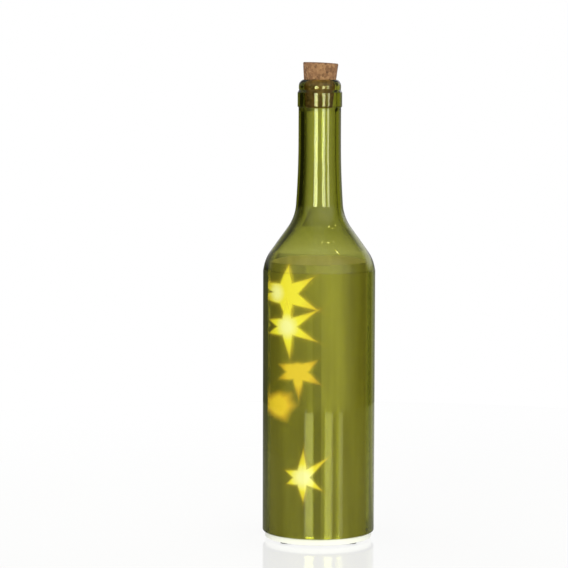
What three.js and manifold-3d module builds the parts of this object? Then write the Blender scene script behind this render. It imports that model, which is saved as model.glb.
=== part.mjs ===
// Bottle light: a corked wine bottle of tinted glass that stands on a white battery base.
// A film rolled inside the glass shows every LED on the wire behind it as a star.
// Units are millimetres, +Z is up, -Y is the front, and the origin is the middle of the standing plane.
import * as THREE from "three";
import { mergeVertices } from "three/addons/utils/BufferGeometryUtils.js";
import Module from "manifold-3d";

const wasm = await Module();
wasm.setup();
const deg = THREE.MathUtils.degToRad;

// Clearances
const seatGap = 0.3; // between two pieces that sit in or on each other
const runningGap = 0.4; // round a piece that slides or swings

// Bottle glass
const glassWall = 3.0;
const bodyTop = 175.5; // where the straight body ends
const shoulderBend = 20; // outer radius of the shoulder's crown
const shoulderSlope = deg(35.5); // of the cone between crown and neck, from upright
const neckBend = 29; // outer radius of the hollow at the neck's root
const neckLean = deg(4); // of the neck just above its root
const neckSweep = 600; // radius of the long curve that brings the neck upright
const neckRadius = 13.8;
const neckStraight = 21.4; // upright part of the neck, below the band
const heelRound = 1.0; // outer edge at the foot of the glass
const bandProud = 0.65; // string ring under the lip, proud of the neck
const bandHeight = 9.4;
const bandBevel = 0.6;
const bandSlopeHeight = 2.0; // slope from the band up to the lip
const lipInset = 0.1; // lip, inside the neck's outline
const lipHeight = 6.3;
const lipRound = 2.4;
const mouthBevel = 0.4;

// Cork
const corkProud = 10.8; // above the lip
const corkDepth = 18; // below the lip
const corkTaper = deg(5.4);
const corkEdge = 0.7;
const corkLean = deg(2.5); // it is pressed in a little askew

// Star film
const filmThickness = 0.4;
const filmLayerGap = 0.35; // air between the two layers of the seam
const filmRoom = 1.5; // air between the film and the glass
const filmOverlap = deg(8);
const filmSeamAngle = deg(2); // outer edge of the seam, from the front towards +X

// Base housing
const footProud = 0.8; // rubber feet below the base
const flangeInset = 1.7; // flange's edge inside the outline of the glass
const flangeHeight = 3.4;
const flangeRound = 0.6;
const gasketThickness = 0.6;
const housingWall = 1.5;
const floorThickness = 2.0;
const deckThickness = 2.0;
const housingHeight = 20.0; // underside of the base to underside of the deck
const bayWall = 1.2;

// Battery cells, size AAA, with their springs and contacts
const cellRadius = 5.25;
const cellLength = 44.5; // with the nub
const cellNubRadius = 1.9;
const cellNubLength = 0.8;
const cellPitch = 10.9;
const cellRim = 0.5;
const springLength = 3.2; // compressed
const springWire = 0.6;
const springTurns = 2.5;
const springBigRadius = 3.3;
const springSmallRadius = 2.2;
const contactThickness = 0.4;
const contactInset = 1.4; // plate's edges inside the outline of the cell
const contactTabWidth = 2.4;
const contactTabRise = 2.2; // above the bay's roof

// Battery door
const doorThickness = 1.6;
const doorGap = 0.5; // round the door, so that its hinged edge swings clear
const doorRecess = 0.2; // door's face above the base's underside
const doorwayCorner = 3.0;
const doorCorner = 4.5; // rounder than the doorway's, for the same reason
const knuckleWidth = 6.0;
const knuckleSpread = 20.0; // between the middles of the two knuckles
const knuckleReach = 1.3; // from the door's edge to the hinge axis
const pinRadius = 0.5; // hinge pins at both ends of each knuckle
const pinLength = 1.2;
const tongueWidth = 9.0;
const tongueSlit = 1.0;
const tongueLength = 5.0;
const gripDepth = 0.8; // finger scoop beside the tongue
const gripRadius = 6.0;

// Circuit board and slide switch
const boardWidth = 7.6;
const boardThickness = 1.2;
const boardGap = 0.6; // between the board and the bay's wall
const switchWidth = 6.0;
const switchSkin = 0.6;
const knobTravel = 4.0; // ON, OFF and TIMER are 2 apart
const knobLength = 4.0;
const knobWidth = 2.4;
const knobRecess = 0.4; // knob's tip above the base's underside
const sliderLength = 6.0;
const sliderThickness = 1.4;
const chipSize = [5.0, 4.0, 1.5];
const resistorSize = [3.2, 1.6, 0.8];
const chipPlace = -2.5; // along the board
const resistorPlace = 8.0;

// LED wire
const wireRadius = 0.6;
const ledRadius = 2.0;
const ledLength = 6.0;
const grommetRadius = 3.4;
const grommetWaist = 2.3;
const grommetLip = 0.8;
const grommetPlace = [-8.0, -19.0];
// The five LEDs from the top down: turn from the front towards +X, then as shares
// how far in from the film towards the axis, and how far up the straight body
const ledPlaces = [
  { turn: deg(-40.7), inward: 0.017, rise: 0.932 },
  { turn: deg(-39.1), inward: 0.038, rise: 0.814 },
  { turn: deg(-66.0), inward: 0.485, rise: 0.63 },
  { turn: deg(-73.7), inward: 0.132, rise: 0.505 },
  { turn: deg(-19.1), inward: 0.028, rise: 0.252 },
];

// Battery leads
const leadRadius = 0.6;
const blackLeadPlace = -10.6; // along the board
const redLeadPlace = 4.0;

// Feet and screws
const footRadius = 3.5;
const footPocket = 0.6;
const footMargin = 1.2; // from the foot to the door's edge and to the flange's edge
const bossRadius = 2.3;
const bossSink = 0.5; // of the boss into the housing's wall
const screwRadius = 1.1;
const screwLength = 8.0;
const screwHeadRadius = 2.3;
const screwHeadHeight = 1.4;

// Facets
const roundSteps = 48;
const corkSteps = 32;
const cellSteps = 20;
const smallSteps = 16;
const ledSteps = 12;
const screwSteps = 10;
const wireSides = 6;

// Battery bay, which sets how wide the base and the bottle are
const baseUnder = footProud;
const floorTop = baseUnder + floorThickness;
const flangeTop = baseUnder + flangeHeight;
const deckUnder = baseUnder + housingHeight;
const deckTop = deckUnder + deckThickness;
const doorUnder = baseUnder + doorRecess;
const doorTop = doorUnder + doorThickness;
const cellMiddle = doorTop + runningGap + cellRadius;
const bayRoof = cellMiddle + cellRadius + runningGap;
const bayRoofTop = bayRoof + bayWall;
const contactHalf = cellRadius - contactInset;
const bayHalfLength = (cellLength + springLength) / 2 + 2.5 * seatGap + contactThickness;
const bayHalfWidth = cellPitch + cellRadius + runningGap;
const contactX = bayHalfLength - seatGap - contactThickness / 2;
const cornerReach = Math.hypot(contactX + contactThickness / 2, cellPitch + contactHalf);

// Radii from the bay outwards
const filmPitch = filmThickness + filmLayerGap;
const filmRoll = filmPitch * (1 + filmOverlap / (2 * Math.PI)) + filmThickness;
const housingInner = cornerReach + seatGap;
const housingRadius = housingInner + housingWall;
const filmInner = housingRadius + seatGap;
const filmRadius = filmInner + filmRoll;
const glassInner = filmRadius + filmRoom;
const bodyRadius = glassInner + glassWall;
const flangeRadius = bodyRadius - flangeInset;

// Shoulder, neck and finish of the glass
const glassFoot = flangeTop + gasketThickness;
const crownEndRadius = bodyRadius - shoulderBend * (1 - Math.cos(shoulderSlope));
const crownEndHeight = bodyTop + shoulderBend * Math.sin(shoulderSlope);
const neckRootRadius = neckRadius + neckSweep * (1 - Math.cos(neckLean));
const hollowCentre = neckRootRadius + neckBend * Math.cos(neckLean);
const hollowStart = hollowCentre - neckBend * Math.cos(shoulderSlope);
const hollowStartHeight = crownEndHeight + (crownEndRadius - hollowStart) / Math.tan(shoulderSlope);
const hollowHeight = hollowStartHeight + neckBend * Math.sin(shoulderSlope);
const sweepHeight = hollowHeight + (neckSweep - neckBend) * Math.sin(neckLean);
const bandBottom = sweepHeight + neckStraight;
const bandTop = bandBottom + bandHeight;
const lipBottom = bandTop + bandSlopeHeight;
const bottleHeight = lipBottom + lipHeight;
const bandRadius = neckRadius + bandProud;
const lipRadius = neckRadius - lipInset;
const mouthRadius = neckRadius - glassWall;
// The film reaches up to where the shoulder closes in on it
const innerBend = shoulderBend - glassWall;
const filmTop = bodyTop + Math.sqrt(innerBend ** 2 - (innerBend - filmRoom + seatGap) ** 2);

// Places on the base
const bossRow = bayHalfWidth + bayWall + bossRadius + seatGap;
const bossColumn = Math.sqrt((housingInner - bossRadius + bossSink) ** 2 - bossRow ** 2);
const footRow = bayHalfWidth + footRadius + footMargin;
const footColumn = Math.sqrt((flangeRadius - footRadius - footMargin) ** 2 - footRow ** 2);
const fourCorners = (x, y) => [[x, y], [-x, y], [-x, -y], [x, -y]];
const knuckleRadius = doorThickness / 2;
const hingeX = -bayHalfLength - knuckleReach + seatGap;
const hingeZ = doorUnder + knuckleRadius;
const knuckleSides = [-knuckleSpread / 2, knuckleSpread / 2];
const switchLength = sliderLength + knobTravel + 2 * (switchSkin + runningGap);
const switchHeight = sliderThickness + 2 * (switchSkin + seatGap);
const switchFloor = floorTop + seatGap;
const boardUnder = switchFloor + switchHeight + seatGap / 2;
const boardTop = boardUnder + boardThickness;
const boardFront = -(bayHalfWidth + bayWall + boardGap + boardWidth);
const boardMiddle = boardFront + boardWidth / 2;
const boardHalf = Math.sqrt((housingInner - seatGap) ** 2 - boardFront ** 2);
const knobSlotHalf = (knobLength + knobTravel) / 2 + runningGap;

// Each cell's row, and the end that its nub points to
const cellRows = [
  { y: -cellPitch, nub: 1 },
  { y: 0, nub: -1 },
  { y: cellPitch, nub: 1 },
];
// Contact plates: the bay's end, the rows that the plate serves, and whether a tab takes a lead
const contactPlates = [
  { name: "negative_contact", end: -1, rows: [0], tab: true },
  { name: "right_bridge_contact", end: 1, rows: [0, 1], tab: false },
  { name: "left_bridge_contact", end: -1, rows: [1, 2], tab: false },
  { name: "positive_contact", end: 1, rows: [2], tab: true },
];
const tabRow = (plate) => cellRows[plate.rows[0]].y;

// Geometry helpers

// A closed geometry as a manifold-3d solid, without the triangles that collapse on an axis
const solidOf = (geometry) => {
  const bare = geometry.index ? geometry.toNonIndexed() : geometry.clone();
  bare.deleteAttribute("normal");
  bare.deleteAttribute("uv");
  const merged = mergeVertices(bare, 1e-4);
  const corners = merged.index.array;
  const kept = [];
  for (let i = 0; i < corners.length; i += 3) {
    const [a, b, c] = corners.slice(i, i + 3);
    if (a !== b && b !== c && c !== a) kept.push(a, b, c);
  }
  const vertProperties = merged.attributes.position.array;
  return new wasm.Manifold(new wasm.Mesh({ numProp: 3, vertProperties, triVerts: new Uint32Array(kept) }));
};

const geometryOf = (solid) => {
  const made = solid.getMesh();
  const geometry = new THREE.BufferGeometry();
  geometry.setAttribute("position", new THREE.BufferAttribute(new Float32Array(made.vertProperties), 3));
  geometry.setIndex(new THREE.BufferAttribute(new Uint32Array(made.triVerts), 1));
  return geometry;
};

const cutAway = (solid, geometries) => geometries.reduce((rest, cut) => rest.subtract(solidOf(cut)), solid);

// A profile of [radius, height] pairs turned about the Z axis
const turned = (profile, steps = roundSteps) => {
  const points = profile.map(([radius, height]) => new THREE.Vector2(radius, height));
  return new THREE.LatheGeometry(points, steps).rotateX(Math.PI / 2);
};

const disc = (radius, low, high, steps = smallSteps) =>
  turned([[0, low], [radius, low], [radius, high], [0, high]], steps);

const box = ([lowX, highX], [lowY, highY], [lowZ, highZ]) => {
  const geometry = new THREE.BoxGeometry(highX - lowX, highY - lowY, highZ - lowZ);
  return geometry.translate((lowX + highX) / 2, (lowY + highY) / 2, (lowZ + highZ) / 2);
};

const about = (middle, half) => [middle - half, middle + half];

// A plate with round corners, lying flat between two heights
const roundedPlate = (halfX, halfY, corner, low, high) => {
  const shape = new THREE.Shape();
  shape.absarc(halfX - corner, halfY - corner, corner, 0, Math.PI / 2);
  shape.absarc(corner - halfX, halfY - corner, corner, Math.PI / 2, Math.PI);
  shape.absarc(corner - halfX, corner - halfY, corner, Math.PI, 1.5 * Math.PI);
  shape.absarc(halfX - corner, corner - halfY, corner, 1.5 * Math.PI, 2 * Math.PI);
  const options = { depth: high - low, bevelEnabled: false, curveSegments: 4 };
  return new THREE.ExtrudeGeometry(shape, options).translate(0, 0, low);
};

// A round tube along a curve
const tubeAlong = (curve, radius, sides, steps) => {
  const section = [];
  for (let i = 0; i < sides; i++) {
    const angle = (2 * Math.PI * i) / sides;
    section.push(new THREE.Vector2(radius * Math.cos(angle), radius * Math.sin(angle)));
  }
  const options = { steps, bevelEnabled: false, extrudePath: curve };
  return new THREE.ExtrudeGeometry(new THREE.Shape(section), options);
};

const smoothCurve = (points) =>
  new THREE.CatmullRomCurve3(points.map((p) => new THREE.Vector3(...p)), false, "centripetal");

// Points of an arc from one angle to another, as [radius, height] pairs about a centre
const arcPoints = (centreRadius, centreHeight, bend, from, to, steps) => {
  const points = [];
  for (let i = 0; i <= steps; i++) {
    const angle = from + ((to - from) * i) / steps;
    points.push([centreRadius + bend * Math.cos(angle), centreHeight + bend * Math.sin(angle)]);
  }
  return points;
};

// Scene and materials

const bottleLight = new THREE.Group();
bottleLight.name = "bottle_light";

const finish = (color, roughness, metalness = 0, more = {}) =>
  new THREE.MeshStandardMaterial({ color, roughness, metalness, ...more });
const materials = {
  glass: finish(0x8a9034, 0.06, 0, { transparent: true, opacity: 0.45 }),
  cork: finish(0x9b7554, 0.9),
  film: finish(0xb9bd86, 0.35, 0, { transparent: true, opacity: 0.6 }),
  whitePlastic: finish(0xf2f2ec, 0.45),
  silicone: finish(0xe6e8e0, 0.6),
  rubber: finish(0x2c2c2c, 0.85),
  cellJacket: finish(0x3f5a3a, 0.35, 0.2),
  nickel: finish(0xc8c6bf, 0.3, 1),
  board: finish(0x1f6b3a, 0.5),
  blackPlastic: finish(0x1b1b1c, 0.5),
  copper: finish(0xb87345, 0.35, 1),
  redLead: finish(0xb3241e, 0.55),
  led: finish(0xfff2a8, 0.15, 0, { emissive: 0xffd24a }),
};

const add = (name, geometry, material, parent = bottleLight) => {
  const mesh = new THREE.Mesh(geometry, material);
  mesh.name = name;
  parent.add(mesh);
  return mesh;
};

// Bottle glass

// Shoulder and neck, a depth inside the outer surface, from the top of the body up to the band
const shoulderAndNeck = (depth) => [
  ...arcPoints(bodyRadius - shoulderBend, bodyTop, shoulderBend - depth, 0, shoulderSlope, 5),
  ...arcPoints(hollowCentre, hollowHeight, neckBend + depth, Math.PI + shoulderSlope, Math.PI + neckLean, 5),
  ...arcPoints(neckRadius + neckSweep, sweepHeight, neckSweep + depth, Math.PI + neckLean, Math.PI, 3).slice(1),
  [neckRadius - depth, bandBottom],
];

const glassProfile = () => {
  const lipFit = Math.min(lipRound, lipRadius - mouthRadius - mouthBevel);
  const outer = [
    ...arcPoints(bodyRadius - heelRound, glassFoot + heelRound, heelRound, -Math.PI / 2, 0, 2),
    ...shoulderAndNeck(0),
    [bandRadius - bandBevel / 2, bandBottom],
    [bandRadius, bandBottom + bandBevel],
    [bandRadius, bandTop],
    [lipRadius, lipBottom],
    ...arcPoints(lipRadius - lipFit, bottleHeight - lipFit, lipFit, 0, Math.PI / 2, 3),
    [mouthRadius + mouthBevel, bottleHeight],
    [mouthRadius, bottleHeight - mouthBevel],
  ];
  return [...outer, ...shoulderAndNeck(glassWall).reverse(), [glassInner, glassFoot], outer[0]];
};
add("bottle_glass", turned(glassProfile()), materials.glass);

// Cork, a plain taper pressed into the mouth

const corkRadiusAt = (height) => mouthRadius - seatGap + height * Math.tan(corkTaper);
const corkProfile = [
  [0, -corkDepth],
  [corkRadiusAt(-corkDepth) - corkEdge, -corkDepth],
  [corkRadiusAt(corkEdge - corkDepth), corkEdge - corkDepth],
  [corkRadiusAt(0), 0],
  [corkRadiusAt(corkProud - corkEdge), corkProud - corkEdge],
  [corkRadiusAt(corkProud) - corkEdge, corkProud],
  [0, corkProud],
];
const cork = add("cork_stopper", turned(corkProfile, corkSteps), materials.cork);
cork.position.z = bottleHeight;
cork.rotation.y = corkLean;

// Star film, one sheet rolled up with its ends overlapping

const filmEdge = (depth) => {
  const points = [];
  for (let i = 0; i <= roundSteps; i++) {
    const turn = ((2 * Math.PI + filmOverlap) * i) / roundSteps;
    const radius = filmRadius - depth - (filmPitch * turn) / (2 * Math.PI);
    const angle = filmSeamAngle - Math.PI / 2 - turn;
    points.push(new THREE.Vector2(radius * Math.cos(angle), radius * Math.sin(angle)));
  }
  return points;
};
const filmShape = new THREE.Shape([...filmEdge(0), ...filmEdge(filmThickness).reverse()]);
const filmSheet = new THREE.ExtrudeGeometry(filmShape, { depth: filmTop - flangeTop, bevelEnabled: false });
add("star_film", filmSheet.translate(0, 0, flangeTop), materials.film);

// Base housing: a cup with a flange, a battery bay, screw bosses and openings in its floor

const base = new THREE.Group();
bottleLight.add(base);

const cupProfile = [
  [0, baseUnder],
  ...arcPoints(flangeRadius - flangeRound, baseUnder + flangeRound, flangeRound, -Math.PI / 2, 0, 2),
  [flangeRadius, flangeTop],
  [housingRadius, flangeTop],
  [housingRadius, deckUnder],
  [housingInner, deckUnder],
  [housingInner, floorTop],
  [0, floorTop],
];

const screwHoles = (low, high) =>
  fourCorners(bossColumn, bossRow).map(([x, y]) =>
    disc(screwRadius + seatGap, low, high, screwSteps).translate(x, y, 0));

const hingePin = (radius, halfLength, y) =>
  disc(radius, -halfLength, halfLength, ledSteps).rotateX(Math.PI / 2).translate(hingeX, y, hingeZ);

const floorCuts = () => {
  const through = [baseUnder - 1, floorTop + 1];
  const doorway = roundedPlate(bayHalfLength, bayHalfWidth, doorwayCorner, ...through);
  const knobSlot = box(about(0, knobSlotHalf), about(boardMiddle, knobWidth / 2 + runningGap), through);
  const footPockets = fourCorners(footColumn, footRow).map(([x, y]) =>
    disc(footRadius + seatGap, baseUnder - 1, baseUnder + footPocket).translate(x, y, 0));
  const knuckleRooms = knuckleSides.map((y) =>
    box(
      [hingeX - knuckleRadius - runningGap, hingeX + 2 * knuckleReach],
      about(y, knuckleWidth / 2 + runningGap),
      [baseUnder - 1, hingeZ + knuckleRadius + runningGap],
    ));
  const pinHoles = knuckleSides.map((y) =>
    hingePin(pinRadius + seatGap, knuckleWidth / 2 + pinLength + runningGap, y));
  return [doorway, knobSlot, ...footPockets, ...knuckleRooms, ...pinHoles];
};

const tabSlots = () =>
  contactPlates.filter((plate) => plate.tab).map((plate) =>
    box(
      about(plate.end * contactX, contactThickness / 2 + seatGap),
      about(tabRow(plate), contactTabWidth / 2 + seatGap),
      [bayRoof - 1, bayRoofTop + 1],
    ));

const housingSolid = () => {
  const block = box(about(0, bayHalfLength + bayWall), about(0, bayHalfWidth + bayWall), [baseUnder, bayRoofTop]);
  const blockLimit = disc(housingRadius - housingWall / 2, baseUnder, bayRoofTop, roundSteps);
  const room = box(about(0, bayHalfLength), about(0, bayHalfWidth), [floorTop, bayRoof]);
  const roomLimit = disc(housingInner, floorTop, bayRoof, roundSteps);
  let housing = solidOf(turned(cupProfile)).add(solidOf(block).intersect(solidOf(blockLimit)));
  for (const [x, y] of fourCorners(bossColumn, bossRow)) {
    housing = housing.add(solidOf(disc(bossRadius, floorTop - seatGap, deckUnder).translate(x, y, 0)));
  }
  housing = housing.subtract(solidOf(room).intersect(solidOf(roomLimit)));
  return cutAway(housing, [...floorCuts(), ...tabSlots(), ...screwHoles(deckUnder - screwLength, deckUnder + 1)]);
};
add("base_housing", geometryOf(housingSolid()), materials.whitePlastic, base);

// Gasket between the base's flange and the foot of the glass
const gasketInner = (filmRadius + glassInner) / 2;
const gasketProfile = [
  [gasketInner, flangeTop],
  [flangeRadius, flangeTop],
  [flangeRadius, glassFoot],
  [gasketInner, glassFoot],
  [gasketInner, flangeTop],
];
add("glass_gasket", turned(gasketProfile), materials.silicone, base);

// Deck that closes the housing, held by four screws, with a hole for the wire's grommet

const deckSolid = () => {
  const plate = solidOf(disc(housingRadius, deckUnder, deckTop, roundSteps));
  const through = [deckUnder - 1, deckTop + 1];
  const grommetHole = disc(grommetWaist + seatGap, ...through).translate(...grommetPlace, 0);
  return cutAway(plate, [grommetHole, ...screwHoles(...through)]);
};
add("base_deck", geometryOf(deckSolid()), materials.whitePlastic, base);

const screwTip = deckTop - screwLength;
const screwProfile = [
  [0, screwTip],
  [screwRadius, screwTip + screwRadius],
  [screwRadius, deckTop],
  [screwHeadRadius, deckTop],
  [screwHeadRadius, deckTop + screwHeadHeight / 2],
  [screwHeadRadius / 2, deckTop + screwHeadHeight],
  [0, deckTop + screwHeadHeight],
];
fourCorners(bossColumn, bossRow).forEach(([x, y], i) => {
  const screw = turned(screwProfile, screwSteps);
  add(`deck_screw_${i + 1}`, screw.translate(x, y, 0), materials.nickel, base);
});

fourCorners(footColumn, footRow).forEach(([x, y], i) => {
  const foot = disc(footRadius, 0, baseUnder + footPocket);
  add(`rubber_foot_${i + 1}`, foot.translate(x, y, 0), materials.rubber, base);
});

// Battery door: a plate with pinned knuckles at -X, and a spring tongue and a finger scoop at +X

const doorSolid = () => {
  const [farEnd, halfWidth] = [bayHalfLength - doorGap, bayHalfWidth - doorGap];
  let door = solidOf(roundedPlate(farEnd, halfWidth, doorCorner, doorUnder, doorTop));
  for (const y of knuckleSides) {
    const arm = box([hingeX, hingeX + 2 * knuckleReach], about(y, knuckleWidth / 2), [doorUnder, doorTop]);
    const knuckle = hingePin(knuckleRadius, knuckleWidth / 2, y);
    const pin = hingePin(pinRadius, knuckleWidth / 2 + pinLength, y);
    door = door.add(solidOf(arm)).add(solidOf(knuckle)).add(solidOf(pin));
  }
  const tongueRoot = farEnd - tongueLength;
  const slits = [-1, 1].map((side) =>
    box(
      [tongueRoot, farEnd + 1],
      about((side * (tongueWidth + tongueSlit)) / 2, tongueSlit / 2),
      [doorUnder - 1, doorTop + 1],
    ));
  const scoop = solidOf(disc(gripRadius, doorUnder - 1, doorUnder + gripDepth).translate(tongueRoot, 0, 0));
  const scoopHalf = box([tongueRoot - gripRadius - 1, tongueRoot], about(0, gripRadius + 1), [0, doorTop]);
  return cutAway(door.subtract(scoop.intersect(solidOf(scoopHalf))), slits);
};
add("battery_door", geometryOf(doorSolid()), materials.whitePlastic, base);

// Battery cells, each with its nub against a flat contact and its foot against a spring

const cellNubEnd = contactX - contactThickness / 2 - seatGap;
const cellShoulder = cellNubEnd - cellNubLength;
const cellFoot = cellNubEnd - cellLength;
const cellProfile = [
  [0, cellFoot],
  [cellRadius - cellRim, cellFoot],
  [cellRadius, cellFoot + cellRim],
  [cellRadius, cellShoulder - cellRim],
  [cellRadius - cellRim, cellShoulder],
  [cellNubRadius, cellShoulder],
  [cellNubRadius, cellNubEnd],
  [0, cellNubEnd],
];
cellRows.forEach(({ y, nub }, i) => {
  const cell = add(`battery_cell_${i + 1}`, turned(cellProfile, cellSteps), materials.cellJacket, base);
  cell.position.set(0, y, cellMiddle);
  cell.rotation.y = (nub * Math.PI) / 2;
});

// Conical springs between each cell's foot and its contact

class ConeSpring extends THREE.Curve {
  getPoint(share, target = new THREE.Vector3()) {
    const angle = 2 * Math.PI * springTurns * share;
    const radius = springBigRadius + (springSmallRadius - springBigRadius) * share;
    const along = springWire / 2 + (springLength - springWire - seatGap) * share;
    return target.set(radius * Math.cos(angle), radius * Math.sin(angle), along);
  }
}

const springCurve = new ConeSpring();
cellRows.forEach(({ y, nub }, i) => {
  const coil = tubeAlong(springCurve, springWire / 2, 5, Math.round(8 * springTurns));
  coil.translate(0, 0, cellFoot - springLength);
  const spring = add(`cell_spring_${i + 1}`, coil, materials.nickel, base);
  spring.position.set(0, y, cellMiddle);
  spring.rotation.y = (nub * Math.PI) / 2;
});

// Least gap between the turns of a spring, measured on points of its middle line
const springLeastGap = () => {
  const count = 200;
  const points = springCurve.getPoints(count);
  const halfTurn = Math.round(count / springTurns / 2);
  let least = Infinity;
  for (let i = 0; i < points.length; i++) {
    for (let j = i + halfTurn; j < points.length; j++) {
      least = Math.min(least, points[i].distanceTo(points[j]));
    }
  }
  return least - springWire;
};
console.log(`cell springs: least gap between turns ${springLeastGap().toFixed(2)} mm`);

// Contact plates at both ends of the bay

for (const plate of contactPlates) {
  const rows = plate.rows.map((row) => cellRows[row].y);
  const thick = about(plate.end * contactX, contactThickness / 2);
  const wide = [Math.min(...rows) - contactHalf, Math.max(...rows) + contactHalf];
  let metal = solidOf(box(thick, wide, about(cellMiddle, contactHalf)));
  if (plate.tab) {
    const tab = box(thick, about(tabRow(plate), contactTabWidth / 2), [cellMiddle, bayRoofTop + contactTabRise]);
    metal = metal.add(solidOf(tab));
  }
  add(plate.name, geometryOf(metal), materials.nickel, base);
}

// Circuit board with its parts

const board = box(about(0, boardHalf), about(boardMiddle, boardWidth / 2), [boardUnder, boardTop]);
add("circuit_board", board, materials.board, base);
const onBoard = (name, [length, width, height], place) => {
  const part = box(about(place, length / 2), about(boardMiddle, width / 2), [boardTop, boardTop + height]);
  add(name, part, materials.blackPlastic, base);
};
onBoard("timer_chip", chipSize, chipPlace);
onBoard("resistor", resistorSize, resistorPlace);

// Slide switch: a metal case under the board, and a slider whose knob reaches down through the base

const switchSolid = () => {
  const [halfLength, halfWidth] = [switchLength / 2, switchWidth / 2];
  const shell = box(about(0, halfLength), about(boardMiddle, halfWidth), [switchFloor, switchFloor + switchHeight]);
  const room = box(
    about(0, halfLength - switchSkin),
    about(boardMiddle, halfWidth - switchSkin),
    [switchFloor + switchSkin, switchFloor + switchHeight - switchSkin],
  );
  const slot = box(
    about(0, knobSlotHalf),
    about(boardMiddle, knobWidth / 2 + runningGap),
    [switchFloor - 1, switchFloor + switchSkin + seatGap],
  );
  return cutAway(solidOf(shell), [room, slot]);
};
add("switch_case", geometryOf(switchSolid()), materials.nickel, base);

const knobSolid = () => {
  const middle = -knobTravel / 2; // ON
  const sliderUnder = switchFloor + switchSkin + seatGap;
  const slider = box(
    about(middle, sliderLength / 2),
    about(boardMiddle, switchWidth / 2 - switchSkin - runningGap),
    [sliderUnder, sliderUnder + sliderThickness],
  );
  const stem = box(
    about(middle, knobLength / 2),
    about(boardMiddle, knobWidth / 2),
    [baseUnder + knobRecess, sliderUnder + sliderThickness / 2],
  );
  return solidOf(slider).add(solidOf(stem));
};
add("switch_knob", geometryOf(knobSolid()), materials.blackPlastic, base);

// LED wire: up from the board, through the grommet, and straight through each LED

const ledPoint = ({ turn, inward, rise }) => {
  const radius = (filmInner - ledRadius) * (1 - inward);
  return [radius * Math.sin(turn), -radius * Math.cos(turn), rise * bodyTop];
};

const wireRoute = () => {
  const reach = 0.75 * ledLength; // straight run on each side of an LED
  const [x, y] = grommetPlace;
  const points = [
    [x, boardMiddle, boardTop + seatGap],
    [x, boardMiddle, boardTop + ledLength / 2],
    [x, y, deckUnder - 2 * grommetLip],
    [x, y, deckTop + 2 * grommetLip],
  ];
  for (const [ledX, ledY, ledZ] of ledPlaces.map(ledPoint).reverse()) {
    points.push([ledX, ledY, ledZ - reach], [ledX, ledY, ledZ], [ledX, ledY, ledZ + reach]);
  }
  return points;
};
add("led_wire", tubeAlong(smoothCurve(wireRoute()), wireRadius, wireSides, 72), materials.copper);

const bore = wireRadius + seatGap;
const ledProfile = () => {
  const halfAngle = Math.acos(bore / ledRadius);
  const skin = [];
  for (let i = 0; i <= 6; i++) {
    const angle = halfAngle * (i / 3 - 1);
    skin.push([ledRadius * Math.cos(angle), (ledLength / 2) * Math.sin(angle)]);
  }
  return [...skin, skin[0]];
};
ledPlaces.forEach((place, i) => {
  add(`led_${i + 1}`, turned(ledProfile(), ledSteps), materials.led).position.set(...ledPoint(place));
});

const [lowLip, highLip] = [deckUnder - seatGap, deckTop + seatGap];
const grommetProfile = [
  [bore, lowLip - grommetLip],
  [grommetRadius, lowLip - grommetLip],
  [grommetRadius, lowLip],
  [grommetWaist, lowLip],
  [grommetWaist, highLip],
  [grommetRadius, highLip],
  [grommetRadius, highLip + grommetLip],
  [bore, highLip + grommetLip],
  [bore, lowLip - grommetLip],
];
const grommet = turned(grommetProfile, smallSteps).translate(...grommetPlace, 0);
add("wire_grommet", grommet, materials.rubber, base);

// Battery leads, from the tabs above the bay's roof over its edge and down to the board

const leadRoute = (plate, boardX) => {
  const tabX = plate.end * (contactX - contactThickness / 2 - seatGap - leadRadius);
  const tabY = tabRow(plate);
  const overRoof = bayRoofTop + seatGap + 2 * leadRadius;
  const bayEdge = -(bayHalfWidth + bayWall);
  return [
    [tabX, tabY, overRoof],
    [tabX - plate.end * 3, tabY - 2, overRoof],
    [(tabX + 3 * boardX) / 4, bayEdge + 3, overRoof],
    [boardX, bayEdge - 2 * leadRadius, overRoof - leadRadius],
    [boardX, boardMiddle, boardTop + ledLength],
    [boardX, boardMiddle, boardTop + seatGap],
  ];
};
const leads = [
  { name: "black_lead", plate: contactPlates[0], boardX: blackLeadPlace, material: materials.blackPlastic },
  { name: "red_lead", plate: contactPlates[3], boardX: redLeadPlace, material: materials.redLead },
];
for (const { name, plate, boardX, material } of leads) {
  add(name, tubeAlong(smoothCurve(leadRoute(plate, boardX)), leadRadius, wireSides, 20), material, base);
}

export default bottleLight;
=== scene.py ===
import math

import bmesh
import bpy
from mathutils import Matrix, Vector, noise


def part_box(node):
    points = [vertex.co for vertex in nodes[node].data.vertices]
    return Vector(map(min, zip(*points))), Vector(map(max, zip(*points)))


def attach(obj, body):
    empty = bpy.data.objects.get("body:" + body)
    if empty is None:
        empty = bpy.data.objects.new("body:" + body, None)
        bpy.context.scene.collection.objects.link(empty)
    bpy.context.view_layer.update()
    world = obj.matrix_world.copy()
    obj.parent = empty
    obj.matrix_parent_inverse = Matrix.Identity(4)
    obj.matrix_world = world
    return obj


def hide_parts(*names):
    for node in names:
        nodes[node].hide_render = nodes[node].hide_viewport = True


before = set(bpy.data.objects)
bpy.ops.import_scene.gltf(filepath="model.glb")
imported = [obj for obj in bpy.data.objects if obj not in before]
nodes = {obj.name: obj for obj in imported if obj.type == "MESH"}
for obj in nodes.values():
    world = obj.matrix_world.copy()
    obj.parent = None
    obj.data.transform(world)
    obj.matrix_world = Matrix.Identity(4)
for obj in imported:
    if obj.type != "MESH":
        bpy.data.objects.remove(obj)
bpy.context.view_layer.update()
scene = bpy.context.scene
mm = 0.001
print("frame loaded:", len(nodes), "nodes")


def linear(hexText):
    # sRGB hex to linear RGBA
    parts = [int(hexText[i:i + 2], 16) / 255 for i in (0, 2, 4)]
    return [p / 12.92 if p <= 0.04045 else ((p + 0.055) / 1.055) ** 2.4 for p in parts] + [1.0]


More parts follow.
